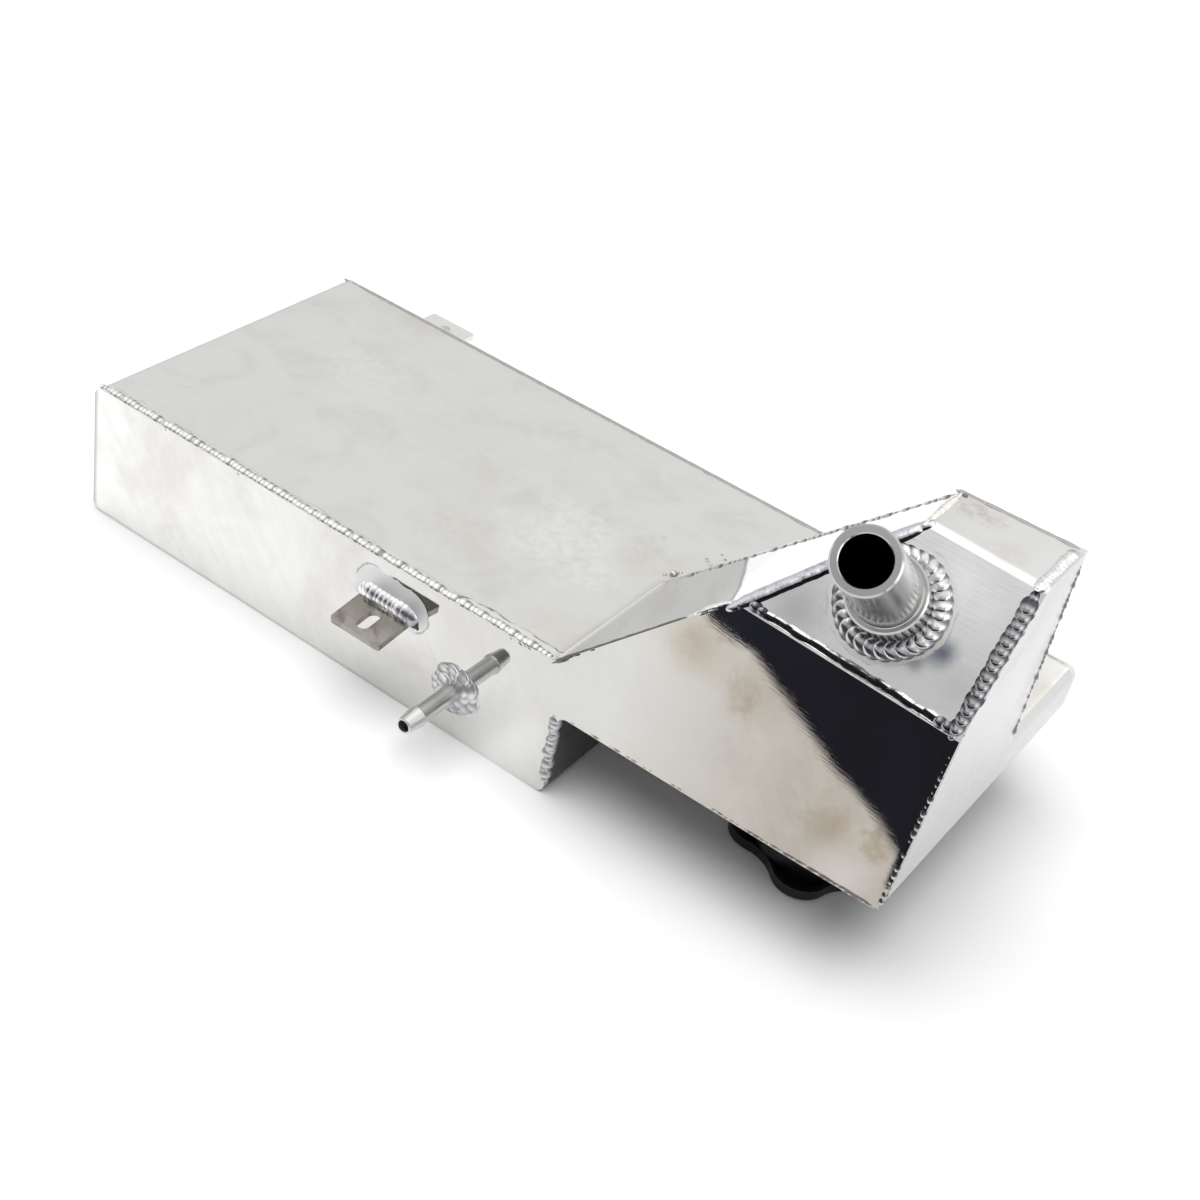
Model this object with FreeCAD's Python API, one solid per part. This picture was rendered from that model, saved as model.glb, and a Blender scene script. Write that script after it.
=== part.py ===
"""Coolant expansion tank, welded from folded aluminium sheet.

The tank lies upside down, as it was photographed: its screw cap is underneath, in the
recess below the raised end, and the well with the hose outlet stands on top.
X runs along the tank, Y from the near side to the far side, Z up. Millimetres.
All shapes are drawn from the near left bottom corner and moved to the origin at export.
"""
import FreeCAD, Part
import math
import os
from FreeCAD import Matrix, Placement, Rotation, Vector

# Box
sheet = 3.0                # thickness of every tank wall
length = 400.0             # overall length of the tank
width = 160.0              # near side to far side
box_height = 64.0          # height of the flat box
recess_length = 144.0      # the raised end over the cap
floor_lift = 41.5          # height of the raised floor above the bottom
bend_radius = 4.5          # outside radius of the sharp bends
lip_length = 20.0          # the top sheet is bent in under the left end by this much

# Well that stands on the box at the near side
well_length = 151.0        # foot of the ramp to the end plate
strip_length = 48.5        # ridge, where the ramp meets the top strip, to the end plate
well_top = 158.8           # height of that ridge
strip_fall = 3.0           # height the strip loses up to the end plate
fold_y = 60.6              # depth of the fold between the face and the strip, at the ridge
face_angle = 48.2          # slope of the outlet face
face_fall_angle = 5.65     # slope of the face along the tank
well_depth_start = 76.0    # depth of the well at the foot of the ramp
well_depth_end = 95.5      # depth of the well at the end plate
lean_angle = 17.5          # how far the well's near wall leans in
lean_radius = 60.0         # soft fold where the lean starts
fold_radius = 5.0          # outside radius of the well's folds
foot_radius = 8.0          # hollow bend at the foot of the ramp

# Baffle inside the box
baffle_from_recess = 116.0
baffle_sheet = 2.0
baffle_hole_radius = 9.0
baffle_hole_count = 4
baffle_hole_pitch = 34.0

# Outlet stub, square to the face
stub_from_end = 44.6
stub_y = 40.0
stub_length = 70.4
stub_bore_radius = 8.85
stub_lip_radius = 12.1
stub_lip_length = 4.4
stub_neck_radius = 11.7    # just behind the lip
stub_root_radius = 12.7    # the hose seat widens a little towards the shoulder
stub_shoulder_radius = 14.85
stub_shoulder_height = 18.5
stub_shoulder_band = 3.0
stub_shank_radius = 14.3
stub_inside = 5.0          # how far it reaches in past the sheet
stub_edge = 0.7            # broken edges of the lip and the shoulder
stub_bore_edge = 0.4
stub_shoulder_slope = 0.5
stub_root_width = 0.5      # hollow where the hose seat meets the shoulder
stub_root_height = 0.9
stub_lip_slope = 1.0

# Return hose barb on the near side
barb_from_recess = 48.6
barb_z = 23.7
barb_length = 32.0
barb_radius = 3.95
barb_bore_radius = 2.55
barb_ridge_radius = 4.55
barb_tip_radius = 3.45
barb_cone_length = 8.5
barb_step = 0.8
barb_inside = 4.0
barb_edge = 0.3
barb_bore_edge = 0.2

# Mounting tabs
tab_sheet = 3.0
tab_width = 25.6
tab_reach = 19.5
tab_droop = 8.0            # the near tab is bent down a little
tab_corner = 1.2
near_tab_from_recess = 100.5   # its left edge to the recess wall
near_tab_below_top = 20.5  # top of the box down to the top of the tab
far_tab_x = 40.0
far_tab_below_top = 9.0
far_tab_reach = 21.6
slot_width = 6.0
slot_length = 12.0
slot_reach = 10.6          # wall to slot centre

# Filler neck under the raised floor
neck_from_end = 49.8
neck_y = 58.0
neck_radius = 24.0
neck_bore_radius = 19.0
neck_drop = 27.0           # floor to the neck's rim
neck_collar_radius = 26.5
neck_collar_height = 3.5
neck_spigot_radius = 22.0
neck_spigot_inside = 1.5
neck_lead_in = 1.2

# Screw cap
cap_lift = 0.8             # the cap clears the table by this much
cap_plate = 2.5
cap_lobes = 5
cap_lobe_radius = 12.2
cap_lobe_pitch = 23.2      # centre of the cap to the centre of a lobe
cap_valley_radius = 27.8
cap_phase = -2.3           # turn of the first lobe, in degrees
cap_rim_height = 5.0       # lobed wall, measured from the cap's outer face
cap_wall = 2.0
cap_edge_radius = 0.9
cap_skirt_height = 25.5
cap_skirt_wall = 2.2
cap_thread_gap = 1.3       # room for the thread between neck and skirt
cap_hub_radius = 11.0
cap_hub_height = 8.2

# Plug and valves in the neck
slack = 0.3                # running gap between pieces that move apart
ring_fit = 0.08            # radial gap of the rubber ring in the neck's bore
hub_fit = 0.2
valve_fit = 0.1
gasket_fit = 0.2
gasket_edge = 0.4          # the gasket stops this far inside the flange's rim
plug_flange = 2.4
plug_flange_radius = 22.6
plug_radius = 17.4
plug_wall = 2.4
plug_height = 21.0         # flange face to the top of the plug
plug_seat_thickness = 2.4
plug_seat_radius = 11.0
plug_vent_radius = 1.6
plug_vent_count = 6
plug_vent_clearance = 1.5
stem_radius = 8.4
stem_bore_radius = 3.0
ring_groove_depth = 1.6
ring_groove_height = 3.0
ring_groove_level = 10.0   # above the flange
ring_thickness = 2.7
relief_disc = 2.0
relief_radius = 13.6
relief_guide_radius = 9.6
relief_guide_wall = 1.4
relief_guide_height = 4.5
relief_hole_radius = 2.0
relief_spring_radius = 12.0
relief_wire_radius = 0.7
relief_turns = 4.5
vacuum_disc = 1.2
vacuum_disc_radius = 5.6
vacuum_stem_radius = 1.3
vacuum_stem_length = 9.0
vacuum_foot = 1.0
vacuum_foot_radius = 4.2
vacuum_spring_radius = 3.4
vacuum_wire_radius = 0.3
vacuum_turns = 5.0

# Welds
seam_radius = 2.5
seam_sink = 0.9            # how deep the bead's centre lies under the surface
end_seam_radius = 3.0
corner_seam_radius = 2.2
coin_radius = 4.2          # coins of the ring around the outlet stub
coin_ring_radius = 17.2
coin_count = 30
coin_lift = 0.6
barb_coin_radius = 3.7
barb_coin_ring = 5.6
barb_coin_count = 11
tab_coin_radius = 5.2
tab_coin_pitch = 2.9
tab_weld_lift = 2.2
neck_weld_radius = 2.6
ridge_seam_sink = 1.6
corner_seam_sink = 1.4
under_seam_sink = 1.2
foot_seam_lift = 0.4
ridge_seam_gap = 0.1       # between the ridge bead and the ring of coins

# Places that follow the tank's length and the height of its box
full_length = length - recess_length
ramp_start = length - well_length
ridge_x = length - strip_length
stub_x = length - stub_from_end
neck_x = length - neck_from_end
barb_x = full_length - barb_from_recess
near_tab_x = full_length - near_tab_from_recess
baffle_x = full_length - baffle_from_recess
near_tab_z = box_height - near_tab_below_top
far_tab_z = box_height - far_tab_below_top

FAR = 600.0                # longer than any part of the tank
TINY = 0.01
up = Vector(0, 0, 1)
away = Vector(0, 1, 0)
along = Vector(1, 0, 0)


# Drawing helpers

def is_hollow(before, here, after):
    """True where a corner of a counter-clockwise outline bends outwards."""
    first = (here[0] - before[0], here[1] - before[1])
    second = (after[0] - here[0], after[1] - here[1])
    return first[0] * second[1] - first[1] * second[0] < 0


def inset_outline(outline, amount):
    """Moves every side of a counter-clockwise outline inwards. Corners are (a, b, radius)."""
    lines = []
    for here, after in zip(outline, outline[1:] + outline[:1]):
        run = Vector(after[0] - here[0], after[1] - here[1], 0).normalize()
        inward = Vector(-run.y, run.x, 0)
        lines.append((Vector(here[0], here[1], 0) + inward * amount, run))
    corners = []
    for index, here in enumerate(outline):
        start, run = lines[index - 1]
        start2, run2 = lines[index]
        cross = run.x * run2.y - run.y * run2.x
        gap = start2 - start
        step = (gap.x * run2.y - gap.y * run2.x) / cross
        point = start + run * step
        after = outline[(index + 1) % len(outline)]
        grown = amount if is_hollow(outline[index - 1], here, after) else -amount
        radius = max(here[2] + grown, 0) if here[2] else 0
        corners.append((point.x, point.y, radius))
    return corners


def outline_face(outline, origin, a_axis, b_axis):
    """A flat face from an outline whose corners are rounded by their own radius."""
    def place(point):
        return origin + a_axis * point.x + b_axis * point.y

    pieces = []
    for index, here in enumerate(outline):
        corner = Vector(here[0], here[1], 0)
        before = Vector(*outline[index - 1][:2], 0)
        after = Vector(*outline[(index + 1) % len(outline)][:2], 0)
        to_before = (before - corner).normalize()
        to_after = (after - corner).normalize()
        if here[2] < TINY:
            pieces.append((corner, None, corner))
            continue
        half = to_before.getAngle(to_after) / 2
        reach = here[2] / math.tan(half)
        middle = (to_before + to_after).normalize()
        summit = corner + middle * (here[2] / math.sin(half) - here[2])
        pieces.append((corner + to_before * reach, summit, corner + to_after * reach))
    edges = []
    for index, (start, summit, end) in enumerate(pieces):
        if summit is not None:
            edges.append(Part.Arc(place(start), place(summit), place(end)).toShape())
        following = pieces[(index + 1) % len(pieces)][0]
        edges.append(Part.makeLine(place(end), place(following)))
    return Part.Face(Part.Wire(edges))


def prism(outline, origin, a_axis, b_axis, run):
    return outline_face(outline, origin, a_axis, b_axis).extrude(run)


def turned(profile):
    """A solid turned about Z from a closed profile of (radius, height) points."""
    points = [Vector(radius, 0, height) for radius, height in profile]
    outline = Part.makePolygon(points + points[:1])
    return Part.Face(outline).revolve(Vector(0, 0, 0), up, 360)


def disc(radius, height, level=0.0):
    return Part.makeCylinder(radius, height, Vector(0, 0, level))


def pipe(outer, inner, height, level=0.0):
    return disc(outer, height, level).cut(disc(inner, height, level))


def stand(shape, base, axis):
    """Turns a shape drawn on the Z axis onto another axis."""
    moved = shape.copy()
    moved.Placement = Placement(base, Rotation(up, axis))
    return moved


def coil(radius, wire, low, high, turns):
    """A round-wire spring between two levels, of half rings that tilt to one side and the other in turn."""
    halves = max(round(2 * turns), 2)
    rise = (high - low - 2 * wire) / halves
    rings = []
    for index in range(halves):
        side = 1 if index % 2 == 0 else -1
        start = Vector(side * radius, 0, low + wire + rise * index)
        end = Vector(-side * radius, 0, low + wire + rise * (index + 1))
        section = Part.Face(Part.Wire(Part.makeCircle(wire, start, away)))
        axis = away.cross(end - start) * side
        rings.append(section.revolve((start + end) / 2, axis, 180))
    return rings[0].multiFuse(rings[1:]).removeSplitter()


def round_bar(points, radius):
    """A round bar along a line of points. Its balls are a hair fuller than the bar."""
    ball = (1 + TINY) * radius
    bar = Part.makeSphere(ball, points[0])
    for start, end in zip(points, points[1:]):
        run = end - start
        bar = bar.fuse(Part.makeCylinder(radius, run.Length, start, run))
        bar = bar.fuse(Part.makeSphere(ball, end))
    return bar


def coin_ring(ring_radius, radius, count, lift):
    """A ring of overlapping coins around Z, standing on the plane at zero."""
    half = 180.0 / count
    reach = ring_radius + 2 * radius
    rim = reach * math.tan(math.radians(half))
    corners = [Vector(0, 0, 0), Vector(reach, -rim, 0), Vector(reach, rim, 0)]
    wedge = Part.makePolygon(corners + corners[:1])
    sector = Part.Face(wedge).extrude(Vector(0, 0, 2 * radius))
    coin = Part.makeSphere(radius, Vector(ring_radius, 0, lift)).common(sector)
    coins = []
    for index in range(count):
        copy = coin.copy()
        copy.rotate(Vector(0, 0, 0), up, 2 * half * index)
        coins.append(copy)
    return coins[0].multiFuse(coins[1:])


def coin_row(start, end, radius, pitch):
    """A straight row of overlapping coins, for a heavy fillet weld."""
    run = end - start
    count = max(int(round(run.Length / pitch)), 2)
    step = run.Length / count
    direction = run / run.Length
    coins = []
    for index in range(count + 1):
        centre = start + direction * (step * index)
        ball = Part.makeSphere(radius, centre)
        low = -step / 2 if index else -2 * radius
        high = step / 2 if index < count else 2 * radius
        slab = Part.makeCylinder(2 * radius, high - low, centre + direction * low, direction)
        coins.append(ball.common(slab))
    return coins[0].multiFuse(coins[1:])


def meet(*planes):
    """The point that three planes share. A plane is (point, normal)."""
    rows = [normal for point, normal in planes]
    values = [point.dot(normal) for point, normal in planes]
    matrix = Matrix(rows[0].x, rows[0].y, rows[0].z, 0, rows[1].x, rows[1].y, rows[1].z, 0,
                    rows[2].x, rows[2].y, rows[2].z, 0, 0, 0, 0, 1)
    return matrix.inverse().multVec(Vector(*values))


# Planes of the tank's outer skin

top_plane = (Vector(0, 0, box_height), Vector(0, 0, 1))
end_plane = (Vector(length, 0, 0), Vector(1, 0, 0))
ridge_point = Vector(ridge_x, fold_y, well_top)
ramp_run = Vector(ridge_x - ramp_start, 0, well_top - box_height).normalize()
ramp_plane = (Vector(ramp_start, 0, box_height), Vector(-ramp_run.z, 0, ramp_run.x))
strip_plane = (ridge_point, Vector(strip_fall / (length - ridge_x), 0, 1).normalize())
face_slopes = Vector(math.tan(math.radians(face_fall_angle)), -math.tan(math.radians(face_angle)), 1)
face_plane = (ridge_point, face_slopes.normalize())
fold_run = Vector(length - ramp_start, 0, floor_lift - box_height).normalize()
fold_up = Vector(-fold_run.z, 0, fold_run.x)
lean_start = Vector(ramp_start, 0, box_height)
lean = math.radians(lean_angle)
lean_plane = (lean_start, fold_up * math.sin(lean) - away * math.cos(lean))
back_run = Vector(length - ramp_start, well_depth_end - well_depth_start, 0).normalize()
back_plane = (Vector(ramp_start, well_depth_start, 0), Vector(-back_run.y, back_run.x, 0))

ramp_near_foot = Vector(ramp_start, 0, box_height)
ramp_far_foot = meet(top_plane, ramp_plane, back_plane)
ridge_near = meet(ramp_plane, face_plane, lean_plane)
ridge_far = meet(ramp_plane, strip_plane, back_plane)
ridge_fold = meet(ramp_plane, strip_plane, face_plane)
end_near_low = Vector(length, 0, floor_lift)
end_near = meet(end_plane, face_plane, lean_plane)
end_fold = meet(end_plane, face_plane, strip_plane)
end_far = meet(end_plane, strip_plane, back_plane)
end_foot = meet(end_plane, top_plane, back_plane)


# The tank's skin at any depth under its surface

def box_form(inset):
    corners = [(0, 0), (full_length, 0), (full_length, floor_lift), (length, floor_lift),
               (length, box_height), (0, box_height)]
    outline = [(*corner, bend_radius) for corner in corners]
    start = Vector(0, -width, 0)
    return prism(inset_outline(outline, inset), start, along, up, away * (2 * width - inset))


def well_profile_form(inset):
    """The ramp and the strip seen from the side, with their two folds."""
    left = ramp_start - 4 * foot_radius
    base = box_height - 4 * sheet
    outline = [(left, base, 0), (length, base, 0), (length, end_fold.z, 0), (ridge_x, well_top, fold_radius),
               (ramp_start, box_height, foot_radius), (left, box_height, 0)]
    return prism(inset_outline(outline, inset), Vector(0, -width, 0), along, up, away * (3 * width))


def face_form(inset):
    """All that lies under the outlet face and the strip, with the fold between them."""
    fold_axis = strip_plane[1].cross(face_plane[1]).normalize()
    if fold_axis.x < 0:
        fold_axis = fold_axis * -1
    across = strip_plane[1].cross(fold_axis)
    bend = strip_plane[1].getAngle(face_plane[1])
    low = (-FAR * math.cos(bend), -FAR * math.sin(bend), 0)
    outline = [(0, 0, fold_radius), low, (low[0], -2 * FAR, 0), (FAR, -2 * FAR, 0), (FAR, 0, 0)]
    start = ridge_fold - fold_axis * FAR
    return prism(inset_outline(outline, inset), start, across, strip_plane[1], fold_axis * (2 * FAR))


def back_form(inset):
    """All that lies in front of the well's far wall."""
    start = back_plane[0] - back_run * FAR
    end = back_plane[0] + back_run * FAR
    outline = [(start.x, -FAR, 0), (end.x, -FAR, 0), (end.x, end.y, 0), (start.x, start.y, 0)]
    return prism(inset_outline(outline, inset), Vector(0, 0, 0), along, away, up * FAR)


def near_form(inset):
    """All that lies behind the near side, upright at first and leaning in above the soft fold."""
    rise = FAR * math.tan(lean)
    outline = [(0, -FAR, 0), (FAR, -FAR, 0), (FAR, FAR, 0), (rise, FAR, 0), (0, 0, lean_radius)]
    start = lean_start - fold_run * FAR
    return prism(inset_outline(outline, inset), start, away, fold_up, fold_run * (2 * FAR))


def well_form(inset):
    return well_profile_form(inset).common(face_form(inset)).common(back_form(inset))


def tank_form(inset):
    return box_form(inset).fuse(well_form(inset)).common(near_form(inset)).removeSplitter()


# Pieces that stand in holes, drawn first so that the holes match them

def face_height(x, y):
    point, normal = face_plane
    return point.z - (normal.x * (x - point.x) + normal.y * (y - point.y)) / normal.z


stub_base = Vector(stub_x, stub_y, face_height(stub_x, stub_y))
barb_base = Vector(barb_x, 0, barb_z)
neck_base = Vector(neck_x, neck_y, floor_lift)
neck_rim = floor_lift - neck_drop
skirt_bore_radius = neck_radius + cap_thread_gap
skirt_radius = skirt_bore_radius + cap_skirt_wall


def make_outlet_stub():
    inner_end = -sheet - stub_inside
    shoulder_low = stub_shoulder_height - stub_shoulder_band
    lip_low = stub_length - stub_lip_length
    profile = [(stub_bore_radius, inner_end), (stub_shank_radius, inner_end),
               (stub_shank_radius, shoulder_low),
               (stub_shoulder_radius, shoulder_low + stub_shoulder_slope),
               (stub_shoulder_radius, stub_shoulder_height - stub_edge),
               (stub_shoulder_radius - stub_edge, stub_shoulder_height),
               (stub_root_radius + stub_root_width, stub_shoulder_height),
               (stub_root_radius, stub_shoulder_height + stub_root_height),
               (stub_neck_radius, lip_low - stub_lip_slope),
               (stub_lip_radius, lip_low), (stub_lip_radius, stub_length - stub_edge),
               (stub_lip_radius - stub_edge, stub_length), (stub_bore_radius + stub_bore_edge, stub_length),
               (stub_bore_radius, stub_length - stub_bore_edge)]
    return stand(turned(profile), stub_base, face_plane[1])


def make_return_barb():
    cone_low = barb_length - barb_cone_length
    profile = [(barb_bore_radius, -sheet - barb_inside), (barb_radius, -sheet - barb_inside),
               (barb_radius, cone_low - barb_step), (barb_ridge_radius, cone_low),
               (barb_tip_radius, barb_length - barb_edge), (barb_tip_radius - barb_edge, barb_length),
               (barb_bore_radius + barb_bore_edge, barb_length),
               (barb_bore_radius, barb_length - barb_bore_edge)]
    return stand(turned(profile), barb_base, away * -1)


def make_filler_neck():
    """Drawn with its rim up, then turned over so that the rim hangs down."""
    inner_end = -sheet - neck_spigot_inside
    collar_low = neck_collar_height + neck_collar_radius - neck_radius
    profile = [(neck_bore_radius, inner_end), (neck_spigot_radius, inner_end), (neck_spigot_radius, 0),
               (neck_collar_radius, 0), (neck_collar_radius, neck_collar_height), (neck_radius, collar_low),
               (neck_radius, neck_drop - neck_lead_in), (neck_radius - neck_lead_in, neck_drop),
               (neck_bore_radius, neck_drop)]
    return stand(turned(profile), neck_base, up * -1)


# Sheet pieces

def make_sheets():
    outer = tank_form(0)
    near_plate = outer.cut(near_form(sheet))
    far_slab = Part.makeBox(2 * FAR, sheet, FAR, Vector(-FAR, width - sheet, -sheet))
    far_plate = box_form(0).common(far_slab)
    above = Part.makeBox(2 * FAR, FAR, FAR, Vector(-FAR, -width, box_height))
    back_wall = well_form(0).common(near_form(sheet)).cut(back_form(sheet)).common(above)
    inner = tank_form(sheet)
    folded = outer.cut(inner).cut(near_form(0).cut(near_form(sheet))).cut(far_plate).cut(back_wall)
    middle = (box_height + floor_lift) / 2
    low_half = Part.makeBox(FAR, 2 * FAR, FAR, Vector(lip_length, -FAR, middle - FAR))
    end_slab = Part.makeBox(FAR, 2 * FAR, 2 * FAR, Vector(length - sheet, -FAR, -FAR))
    floor_zone = low_half.fuse(end_slab)
    top_sheet = folded.cut(floor_zone)
    stub_hole = disc(stub_shank_radius, 4 * sheet, -2 * sheet)
    top_sheet = top_sheet.cut(stand(stub_hole, stub_base, face_plane[1]))
    floor_sheet = folded.common(floor_zone)
    floor_sheet = floor_sheet.cut(stand(disc(neck_spigot_radius, 4 * sheet, -2 * sheet), neck_base, up * -1))
    near_plate = near_plate.cut(stand(disc(barb_radius, 4 * sheet, -2 * sheet), barb_base, away * -1))
    return outer, inner, {"top_sheet": top_sheet, "floor_sheet": floor_sheet, "near_side_plate": near_plate,
                          "far_side_plate": far_plate, "well_far_wall": back_wall}


def make_baffle(inner):
    low_corner = Vector(baffle_x, -width / 2, -box_height / 2)
    plate = Part.makeBox(baffle_sheet, 2 * width, 2 * box_height, low_corner).common(inner)
    first = (width - baffle_hole_pitch * (baffle_hole_count - 1)) / 2
    for index in range(baffle_hole_count):
        centre = Vector(baffle_x - sheet, first + baffle_hole_pitch * index, box_height / 2)
        plate = plate.cut(Part.makeCylinder(baffle_hole_radius, 3 * sheet, centre, along))
    return plate


# Mounting tabs

def make_tab(reach):
    """A slotted tab that reaches along -Y from the origin, its top at zero."""
    outline = [(0, -reach, tab_corner), (tab_width, -reach, tab_corner), (tab_width, 2 * sheet, 0),
               (0, 2 * sheet, 0)]
    plate = prism(outline, Vector(0, 0, -tab_sheet), along, away, up * tab_sheet)
    middle = tab_width / 2
    half = slot_width / 2
    low = -slot_reach - slot_length / 2
    high = -slot_reach + slot_length / 2
    slot_outline = [(middle - half, low, half - TINY), (middle + half, low, half - TINY),
                    (middle + half, high, half - TINY), (middle - half, high, half - TINY)]
    slot = prism(slot_outline, Vector(0, 0, -2 * tab_sheet), along, away, up * (3 * tab_sheet))
    return plate.cut(slot)


def make_tabs(outer):
    near_tab = make_tab(tab_reach)
    near_tab.rotate(Vector(0, 0, 0), along, tab_droop)
    near_tab.translate(Vector(near_tab_x, 0, near_tab_z))
    near_tab = near_tab.cut(outer)
    far_tab = make_tab(far_tab_reach)
    far_tab.rotate(Vector(tab_width / 2, 0, 0), up, 180)
    far_tab.translate(Vector(far_tab_x, width, far_tab_z))
    far_tab = far_tab.cut(outer)
    return near_tab, far_tab


# Welds

def seam(outer, points, radius, inward):
    """A bead along a line of points, its centre moved inwards and the tank cut away from it."""
    return round_bar([point + inward for point in points], radius).cut(outer)


def shifted(start, end, before, after):
    """The same line with its ends moved inwards along itself."""
    run = (end - start).normalize()
    return start + run * before, end - run * after


def lay_in_turn(seams):
    """Each bead ends where it meets one that was laid before it."""
    laid = {}
    for name, bead in seams.items():
        for other in laid.values():
            if bead.BoundBox.intersect(other.BoundBox):
                bead = bead.cut(other)
        laid[name] = bead
    return laid


def make_seams(outer):
    on_top = away * sheet - up * seam_sink
    on_ramp = away * sheet - ramp_plane[1] * seam_sink
    edge_run = (end_near - ridge_near).normalize()
    into_face = face_plane[1].cross(edge_run).normalize()
    if into_face.y < 0:
        into_face = into_face * -1
    on_face = into_face * sheet - face_plane[1] * seam_sink
    on_ridge = (ramp_plane[1] + face_plane[1]).normalize() * -ridge_seam_sink
    at_end = along * -sheet - face_plane[1] * seam_sink
    side_in = (away - along) * corner_seam_sink
    back_in = (back_plane[1] + along) * -corner_seam_sink
    crest_in = back_plane[1] * -sheet
    under_in = away * corner_seam_sink + up * under_seam_sink
    upright_in = away * corner_seam_sink - along * under_seam_sink
    mirror_in = away * (-2 * corner_seam_sink)
    low_corner = Vector(full_length, 0, bend_radius + seam_radius)
    high_corner = Vector(full_length, 0, floor_lift)
    far_shift = away * width
    top_start = Vector(sheet, 0, box_height)
    far_start = Vector(0, width, box_height)
    far_end = Vector(length, width, box_height)
    lean_begin = ramp_near_foot - along * (lean_radius * lean)
    soft = away * (lean_radius * lean * lean / 6)
    crest = (*shifted(ramp_far_foot, ridge_far, 4 * sheet, 0), shifted(ridge_far, end_far, 0, 3 * sheet)[1])
    seams = {
        "near_top_seam": seam(outer, (top_start, lean_begin, ramp_near_foot + soft), seam_radius, on_top),
        "near_ramp_seam": seam(outer, shifted(ramp_near_foot, ridge_near, 2 * seam_radius, 0), seam_radius,
                               on_ramp),
        "face_seam": seam(outer, shifted(ridge_near, end_near, seam_radius, sheet), seam_radius, on_face),
        "ridge_seam": seam(outer, shifted(ridge_near, ridge_fold, 3 * sheet, 0), seam_radius, on_ridge),
        "end_top_seam": seam(outer, (end_near + away * sheet, end_fold, end_far + away * -sheet),
                             end_seam_radius, at_end),
        "near_end_seam": seam(outer, shifted(end_near_low, end_near, sheet, 2 * sheet), corner_seam_radius,
                              side_in),
        "well_corner_seam": seam(outer, shifted(end_foot, end_far, sheet, 2 * sheet), corner_seam_radius,
                                 back_in),
        "well_top_seam": seam(outer, crest, seam_radius, crest_in - up * seam_sink),
        "well_foot_seam": seam(outer, shifted(ramp_far_foot, end_foot, 4 * sheet, 2 * sheet), seam_radius,
                               back_plane[1] * foot_seam_lift),
        "far_top_seam": seam(outer, shifted(far_start, far_end, sheet, 2 * sheet), seam_radius,
                             away * -sheet - up * seam_sink),
    }
    under_end = end_near_low - along * bend_radius
    upright = seam(outer, (low_corner, high_corner), corner_seam_radius, upright_in)
    under = seam(outer, (high_corner, under_end), corner_seam_radius, under_in)
    seams["near_under_seam"] = upright.fuse(under)
    far_upright = seam(outer, (low_corner + far_shift, high_corner + far_shift), corner_seam_radius,
                       upright_in + mirror_in)
    far_under = seam(outer, (high_corner + far_shift, under_end + far_shift), corner_seam_radius,
                     under_in + mirror_in)
    seams["far_under_seam"] = far_upright.fuse(far_under)
    return lay_in_turn(seams)


def make_outlet_weld():
    ring = coin_ring(coin_ring_radius, coin_radius, coin_count, coin_lift)
    ring = ring.cut(disc(stub_shank_radius, 4 * coin_radius))
    return stand(ring, stub_base, face_plane[1])


def make_barb_weld():
    ring = coin_ring(barb_coin_ring, barb_coin_radius, barb_coin_count, 0)
    ring = ring.cut(disc(barb_radius, 4 * barb_coin_radius))
    return stand(ring, barb_base, away * -1)


def make_tab_weld(outer, tab, left, level, wall_y):
    start = Vector(left + tab_coin_radius / 2, wall_y, level + tab_weld_lift)
    end = Vector(left + tab_width, wall_y, level + tab_weld_lift)
    return coin_row(start, end, tab_coin_radius, tab_coin_pitch).cut(outer).cut(tab)


def make_neck_weld():
    ring = Part.makeTorus(neck_collar_radius, neck_weld_radius)
    ring = ring.cut(disc(neck_collar_radius, 4 * neck_weld_radius, -2 * neck_weld_radius))
    ring = ring.cut(disc(2 * neck_collar_radius, 4 * neck_weld_radius, -4 * neck_weld_radius))
    return stand(ring, neck_base, up * -1)


# Screw cap

def lobed_face(inset, level):
    """The cap's outline: round lobes joined by hollow arcs that keep the valley radius."""
    step = math.pi / cap_lobes
    pull = 2 * cap_lobe_pitch * math.cos(step)
    rest = cap_lobe_pitch ** 2 + cap_valley_radius ** 2 - pull * cap_valley_radius - cap_lobe_radius ** 2
    hollow_radius = rest / (2 * cap_lobe_radius - 2 * cap_valley_radius + pull)
    lobe_radius = cap_lobe_radius - inset
    edges = []
    for index in range(cap_lobes):
        turn = math.radians(cap_phase) + 2 * step * index
        lobe = Vector(math.cos(turn), math.sin(turn), 0) * cap_lobe_pitch
        hollows = []
        for side in (-1, 1):
            angle = turn + side * step
            hollows.append(Vector(math.cos(angle), math.sin(angle), 0) * (cap_valley_radius + hollow_radius))
        start = lobe + (hollows[0] - lobe).normalize() * lobe_radius
        end = lobe + (hollows[1] - lobe).normalize() * lobe_radius
        summit = lobe * (1 + lobe_radius / cap_lobe_pitch)
        edges.append(Part.Arc(start, summit, end).toShape())
        valley = hollows[1] * ((cap_valley_radius - inset) / (cap_valley_radius + hollow_radius))
        next_turn = turn + 2 * step
        next_lobe = Vector(math.cos(next_turn), math.sin(next_turn), 0) * cap_lobe_pitch
        next_start = next_lobe + (hollows[1] - next_lobe).normalize() * lobe_radius
        edges.append(Part.Arc(end, valley, next_start).toShape())
    face = Part.Face(Part.Wire(edges))
    face.translate(Vector(0, 0, level))
    return face


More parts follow.
